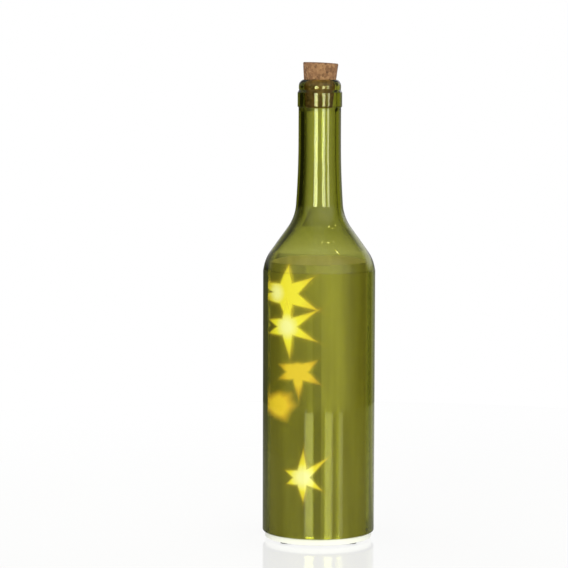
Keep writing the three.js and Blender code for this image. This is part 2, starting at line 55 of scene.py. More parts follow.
def newMaterial(name):
    material = bpy.data.materials.new(name)
    material.use_nodes = True
    material.node_tree.nodes.clear()
    return material, material.node_tree


def addNode(tree, kind, inputs=None, ramp=None, **settings):
    # adds a node, sets it up, and links each input that is given a socket, or a node for its first output
    node = tree.nodes.new("ShaderNode" + kind)
    for name, value in settings.items():
        setattr(node, name, value)
    for name, value in (inputs or {}).items():
        if isinstance(value, bpy.types.Node):
            value = value.outputs[0]
        if isinstance(value, bpy.types.NodeSocket):
            tree.links.new(value, node.inputs[name])
        else:
            node.inputs[name].default_value = value
    if ramp:
        stops = node.color_ramp.elements
        while len(stops) < len(ramp):
            stops.new(0.5)
        for stop, (place, colour) in zip(stops, ramp):
            stop.position, stop.color = place, linear(colour)
    return node


def perMetre(size):
    # texture scale for a feature of this size in millimetres
    return 1 / (size * mm)


def newPiece(name, vertices, faces, *materials, sharp=40):
    mesh = bpy.data.meshes.new(name)
    mesh.from_pydata(vertices, [], faces)
    mesh.validate()
    piece = bpy.data.objects.new(name, mesh)
    scene.collection.objects.link(piece)
    for material in materials:
        mesh.materials.append(material)
    smooth(mesh, sharp)
    return piece


def smooth(mesh, sharp):
    mesh.polygons.foreach_set("use_smooth", [True] * len(mesh.polygons))
    mesh.set_sharp_from_angle(angle=math.radians(sharp))
    mesh.update()


def turned(profile, steps):
    # (radius, height) pairs in mm turned about Z; a pair on the axis becomes one vertex
    vertices, rows, faces = [], [], []
    for radius, height in profile:
        if radius < 1e-6:
            rows.append([len(vertices)] * steps)
            vertices.append((0, 0, height * mm))
            continue
        rows.append(range(len(vertices), len(vertices) + steps))
        for i in range(steps):
            angle = 2 * math.pi * i / steps
            vertices.append((radius * mm * math.cos(angle), radius * mm * math.sin(angle), height * mm))
    for low, high in zip(rows, rows[1:]):
        for i in range(steps):
            k = (i + 1) % steps
            face = list(dict.fromkeys((low[i], low[k], high[k], high[i])))
            if len(face) > 2:
                faces.append(face)
    return vertices, faces


def closedRing(profile, steps):
    # the same for a profile that runs round and meets its own start
    vertices, faces = turned(profile, steps)
    last = (len(profile) - 1) * steps
    for i in range(steps):
        k = (i + 1) % steps
        faces.append((last + i, last + k, k, i))
    return vertices, faces


def arc(centreRadius, centreHeight, bend, start, end, steps):
    points = []
    for i in range(steps + 1):
        angle = start + (end - start) * i / steps
        points.append((centreRadius + bend * math.cos(angle), centreHeight + bend * math.sin(angle)))
    return points


def supported(profile, reach=1.0):
    # rows close to the ends of a long run, which keep its shading straight
    points = []
    for a, b in zip(profile, profile[1:] + profile[:1]):
        points.append(a)
        run = math.dist(a, b)
        if run > 4 * reach:
            for share in (reach / run, 1 - reach / run):
                points.append((a[0] + (b[0] - a[0]) * share, a[1] + (b[1] - a[1]) * share))
    return points


def dress(piece, body, slot, *replaced):
    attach(piece, body)
    if replaced:
        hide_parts(*replaced)
    return piece


# Green bottle glass, blown in a mould and fire polished: deep olive tint that darkens where the wall
# is seen edge on, clear sharp reflections, and a slightly wavy skin from the mould
glassLook = {"tint": "CFD116", "depth": 500, "ior": 1.52, "roughness": 0.0, "waveSize": 9, "wave": 0.02}


def bottleGlass():
    look = glassLook
    material, tree = newMaterial("GreenBottleGlassMouldBlown")
    place = addNode(tree, "TexCoord").outputs["Object"]
    wave = addNode(tree, "TexNoise", {"Vector": place, "Scale": perMetre(look["waveSize"]), "Detail": 3.0})
    bump = addNode(tree, "Bump", {"Height": wave, "Distance": look["wave"] * mm, "Strength": 1.0})
    glass = addNode(tree, "BsdfPrincipled", {"Base Color": linear("FFFFFF"), "Roughness": look["roughness"],
                                             "IOR": look["ior"], "Transmission Weight": 1.0, "Normal": bump})
    # shadow rays pass the glass, so that light reaches what lies inside and behind it
    shadow = addNode(tree, "LightPath").outputs["Is Shadow Ray"]
    clear = addNode(tree, "BsdfTransparent", {"Color": linear("FFFFFF")})
    mix = addNode(tree, "MixShader", {0: shadow, 1: glass, 2: clear})
    soak = addNode(tree, "VolumeAbsorption", {"Color": linear(look["tint"]), "Density": look["depth"]})
    addNode(tree, "OutputMaterial", {"Surface": mix, "Volume": soak})
    return material


bottle = {
    "wall": 3.0, "bodyRadius": 36.54, "foot": 4.8, "heel": 1.0, "bodyTop": 173.9,
    "crown": 25, "parting": math.radians(6.6), "slope": math.radians(35.5), "neckBend": 29,
    "neckLean": math.radians(4), "neckSweep": 600,
    "neckRadius": 13.8, "neckStraight": 21.4, "neckExtra": 0.65, "boreFlare": 2, "ledge": 0.06,
    "bandProud": 0.65, "bandHeight": 9.4, "bandBevel": 0.6, "bandEdge": 0.35, "bandSlope": 2.0,
    "lipInset": 0.1, "lipHeight": 6.3, "lipRound": 4.5, "lipEdge": 0.5, "mouthBevel": 0.2,
    "groove": 0.15, "grooveRound": 0.4, "footBevel": 0.3, "steps": 160,
}


def bottleLevels():
    b = bottle
    crownRadius = b["bodyRadius"] - b["crown"] * (1 - math.cos(b["slope"]))
    crownHeight = b["bodyTop"] + b["crown"] * math.sin(b["slope"])
    rootRadius = b["neckRadius"] + b["neckSweep"] * (1 - math.cos(b["neckLean"]))
    hollow = rootRadius + b["neckBend"] * math.cos(b["neckLean"])
    hollowStart = hollow - b["neckBend"] * math.cos(b["slope"])
    startHeight = crownHeight + (crownRadius - hollowStart) / math.tan(b["slope"])
    b["hollow"] = hollow
    b["hollowHeight"] = startHeight + b["neckBend"] * math.sin(b["slope"])
    b["sweepHeight"] = b["hollowHeight"] + (b["neckSweep"] - b["neckBend"]) * math.sin(b["neckLean"])
    b["bandBottom"] = b["sweepHeight"] + b["neckStraight"]
    b["bandTop"] = b["bandBottom"] + b["bandHeight"]
    b["lipBottom"] = b["bandTop"] + b["bandSlope"]
    b["height"] = b["lipBottom"] + b["lipHeight"]
    b["mouth"] = b["neckRadius"] - b["wall"]


bottleLevels()


def shoulderAndNeck(depth):
    b, turn = bottle, math.pi
    body = b["bodyRadius"] - depth
    crown = arc(body - b["crown"], b["bodyTop"], b["crown"], b["parting"], b["slope"], 14)
    # the mould parts at the top of the straight body, which leaves a hair line there
    crown.insert(0, (body, crown[0][1] - b["ledge"]))
    # the neck's wall is thicker, and its bore opens out under the string ring to take the cork
    top = []
    if depth:
        depth += b["neckExtra"]
        top = [(b["neckRadius"] - depth, b["bandBottom"] - b["boreFlare"]), (b["mouth"], b["bandBottom"])]
    root = arc(b["hollow"], b["hollowHeight"], b["neckBend"] + depth,
               turn + b["slope"], turn + b["neckLean"], 14)
    sweep = arc(b["neckRadius"] + b["neckSweep"], b["sweepHeight"], b["neckSweep"] + depth,
                turn + b["neckLean"], turn, 6)
    return crown + root + sweep[1:] + top


def glassProfile():
    b = bottle
    bandRadius = b["neckRadius"] + b["bandProud"]
    lipRadius = b["neckRadius"] - b["lipInset"]
    lipEnd = math.acos((b["mouth"] + b["mouthBevel"] - lipRadius + b["lipRound"]) / b["lipRound"])
    bevel, edge, bend = b["bandBevel"], b["lipEdge"], b["grooveRound"]
    profile = arc(b["bodyRadius"] - b["heel"], b["foot"] + b["heel"], b["heel"], -math.pi / 2, 0, 6)
    profile += shoulderAndNeck(0)
    # root of the string ring, its rounded lower edge, its face and the slope up to the lip
    root = b["bandProud"] - b["bandEdge"]
    profile += arc(b["neckRadius"] + root, b["bandBottom"] - root, root, math.pi, math.pi / 2, 4)
    profile += arc(bandRadius - b["bandEdge"], b["bandBottom"] + b["bandEdge"], b["bandEdge"], -1.3, 0, 5)
    profile += arc(bandRadius - bevel, b["bandTop"] - bevel * 0.3, bevel, 0, 0.9, 5)
    # groove under the lip, then the rounded lip
    profile += arc(lipRadius - b["groove"] + bend, b["lipBottom"] - bend / 2, bend,
                   math.pi + 0.8, math.pi - 0.5, 4)
    profile += arc(lipRadius - edge, b["lipBottom"] + edge, edge, -0.5, 0, 3)
    profile += arc(lipRadius - b["lipRound"], b["height"] - b["lipRound"] * math.sin(lipEnd), b["lipRound"],
                   0, lipEnd, 12)
    profile += arc(b["mouth"] + b["mouthBevel"], b["height"] - b["mouthBevel"], b["mouthBevel"],
                   math.pi / 2, math.pi, 4)
    profile += shoulderAndNeck(b["wall"])[::-1]
    inside = b["bodyRadius"] - b["wall"]
    return profile + [(inside, b["foot"] + b["footBevel"]), (inside + b["footBevel"], b["foot"])]


glassMaterial = bottleGlass()
vertices, faces = closedRing(supported(glassProfile()), bottle["steps"])
bottlePiece = newPiece("glass_bottle", vertices, faces, glassMaterial, sharp=50)
dress(bottlePiece, "bottle", "green_glass", "bottle_glass")
print("bottle glass:", len(faces), "faces")


# Holographic PET film, embossed and coated with a high index layer: pale satin sheet that mirrors lights
# as soft bright bands, has a faint painted glow of LED light, and turns darker where two layers overlap
filmLook = {"pale": "EAE8B8", "dull": "CBC898", "overlap": "C4C28C", "metal": 0.5, "roughness": 0.1,
            "translucent": 0.4, "clear": 0.08, "streakSize": 14, "streakDraw": 0.08,
            "lit": "FFF4C4", "glow": 0.05, "paintedGlowInside": 0.36}
film = {"radius": 32.04, "thickness": 0.4, "layerGap": 0.35, "overlap": 8.0, "seam": 2.0, "seamShade": 2.6,
        "bottom": 4.2, "top": 181.77, "steps": 184}


def filmMaterial(name, glow):
    look = filmLook
    material, tree = newMaterial(name)
    place = addNode(tree, "TexCoord").outputs["Object"]
    spread = addNode(tree, "Mapping", {"Vector": place, "Scale": (1.0, 1.0, look["streakDraw"])})
    streak = addNode(tree, "TexNoise", {"Vector": spread, "Scale": perMetre(look["streakSize"]),
                                        "Detail": 4.0})
    tone = addNode(tree, "ValToRGB", {"Fac": streak}, ramp=[(0.35, look["dull"]), (0.65, look["pale"])])
    layers = addNode(tree, "Attribute", attribute_name="layers").outputs["Fac"]
    colour = addNode(tree, "Mix", {0: layers, 6: tone, 7: linear(look["overlap"])}, data_type="RGBA")
    colour = colour.outputs[2]
    sheet = addNode(tree, "BsdfPrincipled", {"Base Color": colour, "Roughness": look["roughness"],
                                             "Metallic": look["metal"], "Emission Strength": glow,
                                             "Emission Color": linear(look["lit"])})
    through = addNode(tree, "BsdfTranslucent", {"Color": colour})
    milky = addNode(tree, "MixShader", {0: look["translucent"], 1: sheet, 2: through})
    clear = addNode(tree, "BsdfTransparent")
    mix = addNode(tree, "MixShader", {0: look["clear"], 1: milky, 2: clear})
    addNode(tree, "OutputMaterial", {"Surface": mix})
    return material


def filmPoint(degrees, radius, height):
    angle = math.radians(degrees)
    return (radius * mm * math.sin(angle), -radius * mm * math.cos(angle), height * mm)


def filmSheet():
    pitch = film["thickness"] + film["layerGap"]
    total = 360 + film["overlap"]
    vertices, faces, layers = [], [], []
    for i in range(film["steps"] + 1):
        turn = total * i / film["steps"]
        radius = film["radius"] - pitch * turn / 360
        for depth, height in ((0, film["bottom"]), (0, film["top"]), (film["thickness"], film["top"]),
                              (film["thickness"], film["bottom"])):
            vertices.append(filmPoint(film["seam"] - turn, radius - depth, height))
            # above 1 at the foot and 0 at the top: the seam is dark low down and fades out near its top
            doubled = turn < film["overlap"] + 0.1 and height < film["top"]
            layers.append(film["seamShade"] if doubled else 0.0)
    for i in range(film["steps"]):
        a, b = 4 * i, 4 * i + 4
        for k in range(4):
            faces.append((a + k, a + (k + 1) % 4, b + (k + 1) % 4, b + k))
    faces += [(0, 3, 2, 1), tuple(4 * film["steps"] + k for k in range(4))]
    return vertices, faces, layers


vertices, faces, layers = filmSheet()
filmOutside = filmMaterial("HolographicPetFilmEmbossed", filmLook["glow"])
# the face towards the LEDs gets a stronger painted glow, which stands in for their light on it
filmInside = filmMaterial("HolographicPetFilmBackPaintedGlow", filmLook["paintedGlowInside"])
filmPiece = newPiece("rolled_film", vertices, faces, filmOutside, filmInside, sharp=30)
# of the four faces of each step, the third looks towards the LEDs
for i in range(film["steps"]):
    filmPiece.data.polygons[4 * i + 2].material_index = 1
filmPiece.data.attributes.new("layers", "FLOAT", "POINT").data.foreach_set("value", layers)
dress(filmPiece, "bottle", "film", "star_film")
print("film:", len(faces), "faces")


# Light of an LED spread by the embossed film, which falls on the inside of the glass: a white heart,
# yellow rays and golden tips with soft edges
starLook = {"heart": "FFFDFF", "ray": "F6EE60", "gold": "ECC04E", "strength": 1.95}
# turn from the front towards +X in degrees, height in mm, place and radius of the heart, shares of white and
# gold, how much of the edge is soft, level, how far the tips fade, and rays as angle, reach and next waist
stars = [
    {"turn": -38.0, "height": 163.2, "heart": (-8.5, 0.3, 5.0), "white": 0.85, "gold": 0.15,
     "soft": 0.1, "level": 0.97, "tips": 0.3,
     "rays": [(87, 18.4, 8.0), (32, 21.0, 8.2), (-25, 22.8, 7.8), (-86, 18.5, 8.4), (-174.5, 37.6, 11.5),
              (171.5, 37.8, 8.2)]},
    {"turn": -37.0, "height": 142.1, "heart": (-0.5, 0.0, 6.0), "white": 0.9, "gold": 0.05,
     "soft": 0.14, "level": 0.96, "tips": 0.3,
     "rays": [(91, 17, 6.5), (29, 23.2, 7.2), (-24, 21.5, 6.3), (-84, 20, 6.8), (-162, 18.2, 8.4),
              (169, 17.7, 6.2)]},
    {"turn": -23.7, "height": 113.3, "heart": (0.0, 0.0, 5.0), "white": 0.0, "gold": 0.7,
     "soft": 0.16, "level": 0.82, "tips": 0.8,
     "rays": [(92, 5.8, 6.0), (32, 14.7, 6.8), (-28, 17.3, 6.2), (-88, 19.5, 6.0), (-159, 16.4, 8.4),
              (165, 15.0, 6.2)]},
    {"turn": -48.5, "height": 90.4, "heart": (-1.0, 0.0, 5.0), "white": 0.0, "gold": 0.75,
     "soft": 0.34, "level": 0.93, "tips": 0.5,
     "rays": [(85, 8, 8), (43, 11.6, 10), (5, 11.6, 8), (-58, 9.8, 7.5), (-170, 24, 14), (174, 23, 8)]},
    {"turn": -18.2, "height": 44.9, "heart": (0.5, 0.0, 6.0), "white": 0.9, "gold": 0.1,
     "soft": 0.13, "level": 0.92, "tips": 0.35,
     "rays": [(88, 18.5, 6.0), (39, 20.5, 4.8), (-33, 15, 5.7), (-88, 16, 5.9), (-156, 11.6, 6.4),
              (163, 12.4, 5.5)]},
]
# gaps from the glass in mm, each star a step nearer than the one above it, so that no two coincide
starBuild = {"rings": 16, "edgeSteps": 10, "gap": 0.12, "step": 0.02, "top": 182.4, "backReach": 22,
             "haloGap": 0.25, "haloSoft": 0.5, "haloLevel": 0.26}


def starMaterial():
    look = starLook
    material, tree = newMaterial("LedLightSpreadByFilm")
    heart, gold, cover = (addNode(tree, "Attribute", attribute_name=label).outputs["Fac"]
                          for label in ("heart", "gold", "cover"))
    ray = addNode(tree, "Mix", {0: gold, 6: linear(look["ray"]), 7: linear(look["gold"])}, data_type="RGBA")
    colour = addNode(tree, "Mix", {0: heart, 6: ray.outputs[2], 7: linear(look["heart"])}, data_type="RGBA")
    glow = addNode(tree, "Emission", {"Color": colour.outputs[2], "Strength": look["strength"]})
    clear = addNode(tree, "BsdfTransparent")
    mix = addNode(tree, "MixShader", {0: cover, 1: clear, 2: glow})
    addNode(tree, "OutputMaterial", {"Surface": mix})
    return material


def starOutline(rays):
    # corners of the figure round its middle: each ray's tip, then the waist half way to the next ray
    corners = []
    for (angle, reach, waist), (nextAngle, _, _) in zip(rays, rays[1:] + rays[:1]):
        gap = (angle - nextAngle) % 360
        corners.append((math.radians(angle), reach))
        corners.append((math.radians(angle - gap / 2), waist))
    points = [Vector((r * math.cos(a), r * math.sin(a))) for a, r in corners]
    outline = []
    for point, following in zip(points, points[1:] + points[:1]):
        for i in range(starBuild["edgeSteps"]):
            outline.append(point.lerp(following, i / starBuild["edgeSteps"]))
    return outline


innerWall = shoulderAndNeck(bottle["wall"])


def wallInside(height):
    # inner radius of the glass, which draws in above the straight body
    for (low, start), (high, end) in zip(innerWall, innerWall[1:]):
        if start <= height <= end:
            return low + (high - low) * (height - start) / (end - start)
    return bottle["bodyRadius"] - bottle["wall"]


def starPoint(degrees, height, gap):
    # just inside the glass
    return filmPoint(degrees, wallInside(height) - gap, height)


def buildStar(name, star, turn, gap, material):
    outline = starOutline(star["rays"])
    count, rings = len(outline), starBuild["rings"]
    vertices, faces = [starPoint(turn, star["height"], gap)], []
    hearts, golds, covers = [1.0], [star["gold"]], [star["level"]]
    middle, bright = Vector(star["heart"][:2]), star["heart"][2]
    usual = sorted(far for _, far, _ in star["rays"])[len(star["rays"]) // 2]
    wall, top = wallInside(star["height"]), star.get("top", starBuild["top"])
    for ring in range(1, rings + 1):
        share = ring / rings * (1 + star["soft"])
        for point in outline:
            u, v = point * share
            vertices.append(starPoint(turn + math.degrees(u / wall), min(star["height"] + v, top), gap))
            away = (Vector((u, v)) - middle).length / bright
            hearts.append(max(0.0, min(1.0, 1.5 - away)) * star["white"])
            out = min(share, (point * share).length / usual)
            golds.append(min(1.0, star["gold"] + 1.1 * max(0.0, out - 0.5)))
            edge = max(0.0, min(1.0, (1 + star["soft"] - share) / (2 * star["soft"])))
            # the tips fade
            covers.append(star["level"] * edge * (1 - star["tips"] * max(0.0, min(1.0, 2 * out - 1.0))))
    hearts[0] = max(0.0, min(1.0, 1.5 - middle.length / bright)) * star["white"]
    for i in range(count):
        k = (i + 1) % count
        faces.append((0, 1 + k, 1 + i))
        for ring in range(rings - 1):
            low, high = 1 + ring * count, 1 + (ring + 1) * count
            faces.append((low + i, low + k, high + k, high + i))
    piece = newPiece(name, vertices, faces, material)
    for label, values in (("heart", hearts), ("gold", golds), ("cover", covers)):
        piece.data.attributes.new(label, "FLOAT", "POINT").data.foreach_set("value", values)
    piece.visible_shadow = False
    dress(piece, "bottle", "led")
    return piece


starLight = starMaterial()
for i, star in enumerate(stars):
    nearer = starBuild["step"] * i
    gap = starBuild["gap"] - nearer
    buildStar(f"star_light_{i + 1}", star, star["turn"], gap, starLight)
    halo = dict(star, white=0.0, gold=0.7, soft=starBuild["haloSoft"], level=starBuild["haloLevel"])
    buildStar(f"star_halo_{i + 1}", halo, star["turn"], starBuild["haloGap"] - nearer, starLight)
    # the LEDs light the far side too, in plainer figures
    rays = [(angle, min(reach, starBuild["backReach"]), waist) for angle, reach, waist in star["rays"]]
    buildStar(f"star_light_back_{i + 1}", dict(star, rays=rays), 180 - star["turn"], gap, starLight)
# light that passes above the film and sparkles on the shoulder: turn, height, half height in mm,
# how many times as wide, tilt in degrees, level
glints = [
    (21.0, 205.0, 0.9, 1.6, 45, 0.75), (38.0, 205.6, 0.8, 1.3, 60, 0.6), (28.0, 203.8, 0.6, 2.0, -20, 0.4),
    (3.5, 195.5, 0.7, 1.8, 70, 0.5), (13.0, 195.3, 0.9, 1.7, 0, 0.6), (22.0, 195.7, 0.6, 1.3, 0, 0.4),
    (23.0, 189.5, 1.0, 2.2, -55, 1.0),
]
for i, (turn, height, half, wide, tilt, level) in enumerate(glints):
    rays = [(tilt + 90 * k, reach * half, 0.6 * half) for k, reach in enumerate((wide, 1, wide, 1))]
    glint = {"height": height, "heart": (0, 0, half), "white": 0.6, "gold": 0.0, "soft": 0.3,
             "level": level, "tips": 0.0, "rays": rays, "top": bottle["height"]}
    buildStar(f"shoulder_glint_{i + 1}", glint, turn, starBuild["gap"], starLight)
print("stars:", 2 * len(stars), "and", len(glints), "glints")


# Agglomerated cork, pressed from granules and sanded: matt mid brown grains of 1 to 3 mm in mixed tones,
# dark bark specks and small open pits
corkLook = {"light": "A17A58", "mid": "886144", "dark": "664832", "bark": "3A281C", "grain": 1.5,
            "bendSize": 3.0, "bend": 0.8, "speck": 0.8, "fine": 0.5, "fineDepth": 0.12,
            "roughness": 0.88, "ior": 1.45}
cork = {"proud": 10.8, "depth": 18, "taper": math.radians(5.4), "edge": 0.7, "dome": 0.3,
        "lean": math.radians(2.5), "gap": 0.3, "steps": 96, "rows": 46, "topRings": 10, "footRings": 4,
        "pit": 0.22, "skin": 0.15, "pits": 0.7, "pitSize": 1.6, "dents": 0.8, "dentSize": 4,
        "dentFloor": 0.25, "heart": 8, "flat": 0.7}


def corkMaterial():
    look = corkLook
    material, tree = newMaterial("AgglomeratedCorkSanded")
    place = addNode(tree, "TexCoord").outputs["Object"]
    bend = addNode(tree, "TexNoise", {"Vector": place, "Scale": perMetre(look["bendSize"]), "Detail": 2.0})
    shifted = addNode(tree, "MixRGB", {0: look["bend"] * mm, 1: place, 2: bend.outputs["Color"]},
                      blend_type="ADD")
    grains = addNode(tree, "TexVoronoi", {"Vector": shifted, "Scale": perMetre(look["grain"])})
    tone = addNode(tree, "ValToRGB", {"Fac": grains.outputs["Color"]},
                   ramp=[(0.1, look["dark"]), (0.45, look["mid"]), (0.9, look["light"])])
    specks = addNode(tree, "TexNoise", {"Vector": place, "Scale": perMetre(look["speck"]), "Detail": 5.0,
                                        "Roughness": 0.7})
    mask = addNode(tree, "MapRange", {"Value": specks, "From Min": 0.6, "From Max": 0.72})
    colour = addNode(tree, "Mix", {0: mask, 6: tone, 7: linear(look["bark"])}, data_type="RGBA")
    fine = addNode(tree, "TexNoise", {"Vector": place, "Scale": perMetre(look["fine"]), "Detail": 4.0})
    bump = addNode(tree, "Bump", {"Height": fine, "Distance": look["fineDepth"] * mm, "Strength": 0.8})
    skin = addNode(tree, "BsdfPrincipled", {"Base Color": colour.outputs[2], "Roughness": look["roughness"],
                                            "IOR": look["ior"], "Normal": bump})
    addNode(tree, "OutputMaterial", {"Surface": skin})
    return material


def corkPiece():
    mouth = bottle["mouth"] - cork["gap"]
    slope = math.tan(cork["taper"])
    low, high, edge = -cork["depth"], cork["proud"], cork["edge"]
    foot, top = mouth + low * slope - edge, mouth + high * slope
    profile = [(foot * k / cork["footRings"], low) for k in range(cork["footRings"] + 1)]
    for k in range(cork["rows"] + 1):
        height = low + edge + (high - low - 2 * edge) * k / cork["rows"]
        profile.append((mouth + height * slope, height))
    profile += [(top - edge * 0.35, high - edge * 0.35), (top - edge, high)]
    # the sanded end is a little domed
    for k in range(cork["topRings"] - 1, -1, -1):
        share = k / cork["topRings"]
        profile.append(((top - edge) * share, high + cork["dome"] * (1 - share ** 2)))
    vertices, faces = turned(profile, cork["steps"])
    lean = Matrix.Translation((0, 0, bottle["height"] * mm)) @ Matrix.Rotation(cork["lean"], 4, "Y")
    placed = []
    for v in vertices:
        point = Vector(v)
        # pits only sink into the surface, so the cork keeps its outline
        pit = noise.fractal(point / (cork["pitSize"] * mm), 1.0, 2.0, 3)
        dent = noise.noise(point / (cork["dentSize"] * mm)) - cork["dentFloor"]
        pit = cork["skin"] + cork["pits"] * max(0.0, pit) + cork["dents"] * max(0.0, dent)
        # away from a point on the axis, a little below the top
        outward = Vector((point.x, point.y, (point.z - (high - cork["heart"]) * mm) * cork["flat"]))
        point -= outward.normalized() * min(pit, 1.0) * cork["pit"] * mm
        placed.append(lean @ point)
    return newPiece("cork", placed, faces, corkMaterial(), sharp=60)


dress(corkPiece(), "cork", "cork", "cork_stopper")
print("cork built")


# White ABS, injection moulded in a finely spark eroded tool: even satin white with a faint orange peel,
# drawn at 0.8 mm, coarser than the real 0.2 mm grain, so that it shows
plasticLook = {"pale": "F5F5F2", "dull": "EDEDE8", "patch": 25, "grain": 0.8, "depth": 0.02,
               "roughness": 0.42, "ior": 1.53}


def grained(name, look):
    # a tone that drifts over the part and a fine grain of the given size
    material, tree = newMaterial(name)
    place = addNode(tree, "TexCoord").outputs["Object"]
    drift = addNode(tree, "TexNoise", {"Vector": place, "Scale": perMetre(look["patch"]), "Detail": 3.0})
    tone = addNode(tree, "ValToRGB", {"Fac": drift}, ramp=[(0.3, look["dull"]), (0.7, look["pale"])])
    grain = addNode(tree, "TexNoise", {"Vector": place, "Scale": perMetre(look["grain"]), "Detail": 2.0})
    bump = addNode(tree, "Bump", {"Height": grain, "Distance": look["depth"] * mm, "Strength": 0.6})
    skin = addNode(tree, "BsdfPrincipled", {"Base Color": tone, "Metallic": look.get("metal", 0.0),
                                            "IOR": look.get("ior", 1.5), "Roughness": look["roughness"],
                                            "Emission Color": linear(look.get("lit", "000000")),
                                            "Emission Strength": look.get("glow", 0.0), "Normal": bump})
    addNode(tree, "OutputMaterial", {"Surface": skin})
    return material


def breakEdges(piece, width):
    edges = piece.modifiers.new("broken edges", "BEVEL")
    edges.width = width * mm
    edges.segments = 2
    edges.limit_method = "ANGLE"
    edges.angle_limit = math.radians(50)


# facets of a CAD circle and the cuts made in each, then lengths in metres: what is welded, what counts as
# level, the slack of a facet, and the least radius that is drawn finer
moulding = {"facets": 48, "cuts": 3, "weld": 2e-6, "hair": 1e-6, "slack": 2e-5, "leastRadius": 0.02}


def mouldedCopy(name, node, material, bevel=0.25):
    # the CAD solid with its large circles drawn finer and its edges broken
    m = moulding
    mesh = nodes[node].data.copy()
    mesh.name = name
    mesh.materials.clear()
    mesh.materials.append(material)
    work = bmesh.new()
    work.from_mesh(mesh)
    bmesh.ops.remove_doubles(work, verts=work.verts, dist=m["weld"])
    bmesh.ops.dissolve_limit(work, angle_limit=math.radians(1), verts=work.verts, edges=work.edges)
    halfFacet = math.pi / m["facets"]
    ring = []
    for edge in work.edges:
        a, b = (v.co for v in edge.verts)
        ra, rb = a.xy.length, b.xy.length
        if abs(a.z - b.z) > m["hair"] or abs(ra - rb) > m["weld"] or ra < m["leastRadius"]:
            continue
        if abs((a.xy - b.xy).length - 2 * ra * math.sin(halfFacet)) < m["slack"]:
            ring.append((edge, ra))
    known = sorted({round(radius, 5) for _, radius in ring})
    bmesh.ops.subdivide_edges(work, edges=[e for e, _ in ring], cuts=m["cuts"], use_grid_fill=True)
    for v in work.verts:
        r = v.co.xy.length
        for radius in known:
            if radius * math.cos(halfFacet) - m["hair"] <= r < radius - m["hair"]:
                v.co.xy *= radius / r
                break
    work.to_mesh(mesh)
    work.free()
    piece = bpy.data.objects.new(name, mesh)
    scene.collection.objects.link(piece)
    smooth(mesh, sharp=30)
    if bevel:
        breakEdges(piece, bevel)
    return piece


white = grained("WhiteAbsMoulded", plasticLook)
dress(mouldedCopy("base_shell", "base_housing", white), "bottle", "white_plastic", "base_housing")
dress(mouldedCopy("base_lid", "base_deck", white), "bottle", "white_plastic", "base_deck")
dress(mouldedCopy("battery_lid", "battery_door", white, bevel=0.15), "door", "white_plastic", "battery_door")
print("white plastic built")


def corners(node):
    # low and high corner of a CAD node's box, in mm
    return [Vector(corner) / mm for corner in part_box(node)]


def middle(node):
    # middle of that box, in mm
    low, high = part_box(node)
    return (Vector(low) + Vector(high)) / (2 * mm)


def turnedPiece(name, profile, steps, materials, place=Matrix(), kinds=None, closed=False, sharp=40):
    # place puts the axis where the part is, kinds gives the material of each stretch of the profile
    vertices, faces = closedRing(profile, steps) if closed else turned(profile, steps)
    vertices = [place @ Vector(v) for v in vertices]
    piece = newPiece(name, vertices, faces, *materials, sharp=sharp)
    if kinds:
        for i, face in enumerate(piece.data.polygons):
            face.material_index = kinds[i // steps]
    return piece


def atAxis(x, y):
    return Matrix.Translation((x * mm, y * mm, 0))


def carved(piece, *cutters):
    for cutter in cutters:
        cut = piece.modifiers.new("cut", "BOOLEAN")
        cut.object = cutter
        cut.solver = "EXACT"
    shaped = piece.evaluated_get(bpy.context.evaluated_depsgraph_get())
    piece.data = bpy.data.meshes.new_from_object(shaped)
    piece.modifiers.clear()
    for cutter in cutters:
        bpy.data.objects.remove(cutter)
    smooth(piece.data, sharp=30)
    return piece


def blocks(name, boxes, materials, bevel):
    # boxes as (low corner, high corner, material) in mm, with broken edges
    vertices, faces, kinds = [], [], []
    sides = ((0, 1, 3, 2), (4, 6, 7, 5), (0, 4, 5, 1), (2, 3, 7, 6), (0, 2, 6, 4), (1, 5, 7, 3))
    for low, high, kind in boxes:
        first = len(vertices)
        for x in (low[0], high[0]):
            for y in (low[1], high[1]):
                vertices += [(x * mm, y * mm, z * mm) for z in (low[2], high[2])]
        faces += [tuple(first + corner for corner in side) for side in sides]
        kinds += [kind] * len(sides)
    piece = newPiece(name, vertices, faces, *materials, sharp=30)
    piece.data.polygons.foreach_set("material_index", kinds)
    if bevel:
        breakEdges(piece, bevel)
    return piece


def frames(path):
    # each point with two directions square to the path, carried along it without twist
    rows, side = [], None
    for i, point in enumerate(path):
        ahead = (path[min(i + 1, len(path) - 1)] - path[max(i - 1, 0)]).normalized()
        side = (side - ahead * side.dot(ahead)) if side else ahead.orthogonal()
        side.normalize()
        rows.append((point, side, ahead.cross(side)))
    return rows


def tube(path, radius, sides=10):
    vertices, faces = [], []
    for point, side, up in frames(path):
        for k in range(sides):
            angle = 2 * math.pi * k / sides
            vertices.append((point + radius * (side * math.cos(angle) + up * math.sin(angle))) * mm)
    for i in range(len(path) - 1):
        for k in range(sides):
            a, b = i * sides + k, i * sides + (k + 1) % sides
            faces.append((a, b, b + sides, a + sides))
    last = len(vertices) - sides
    faces += [tuple(range(sides - 1, -1, -1)), tuple(range(last, last + sides))]
    return vertices, faces


def smoothPath(points, steps):
    # centripetal Catmull-Rom curve through the points
    points = [Vector(p) for p in points]
    points = [2 * points[0] - points[1]] + points + [2 * points[-1] - points[-2]]
    path = []
    for p0, p1, p2, p3 in zip(points, points[1:], points[2:], points[3:]):
        t1 = (p1 - p0).length ** 0.5
        t2 = t1 + (p2 - p1).length ** 0.5
        t3 = t2 + (p3 - p2).length ** 0.5
        for i in range(steps):
            t = t1 + (t2 - t1) * i / steps
            a = p0.lerp(p1, t / t1)
            b = p1.lerp(p2, (t - t1) / (t2 - t1))
            c = p2.lerp(p3, (t - t2) / (t3 - t2))
            path.append(a.lerp(b, t / t2).lerp(b.lerp(c, (t - t1) / (t3 - t1)), (t - t1) / (t2 - t1)))
    return path + [points[-2]]


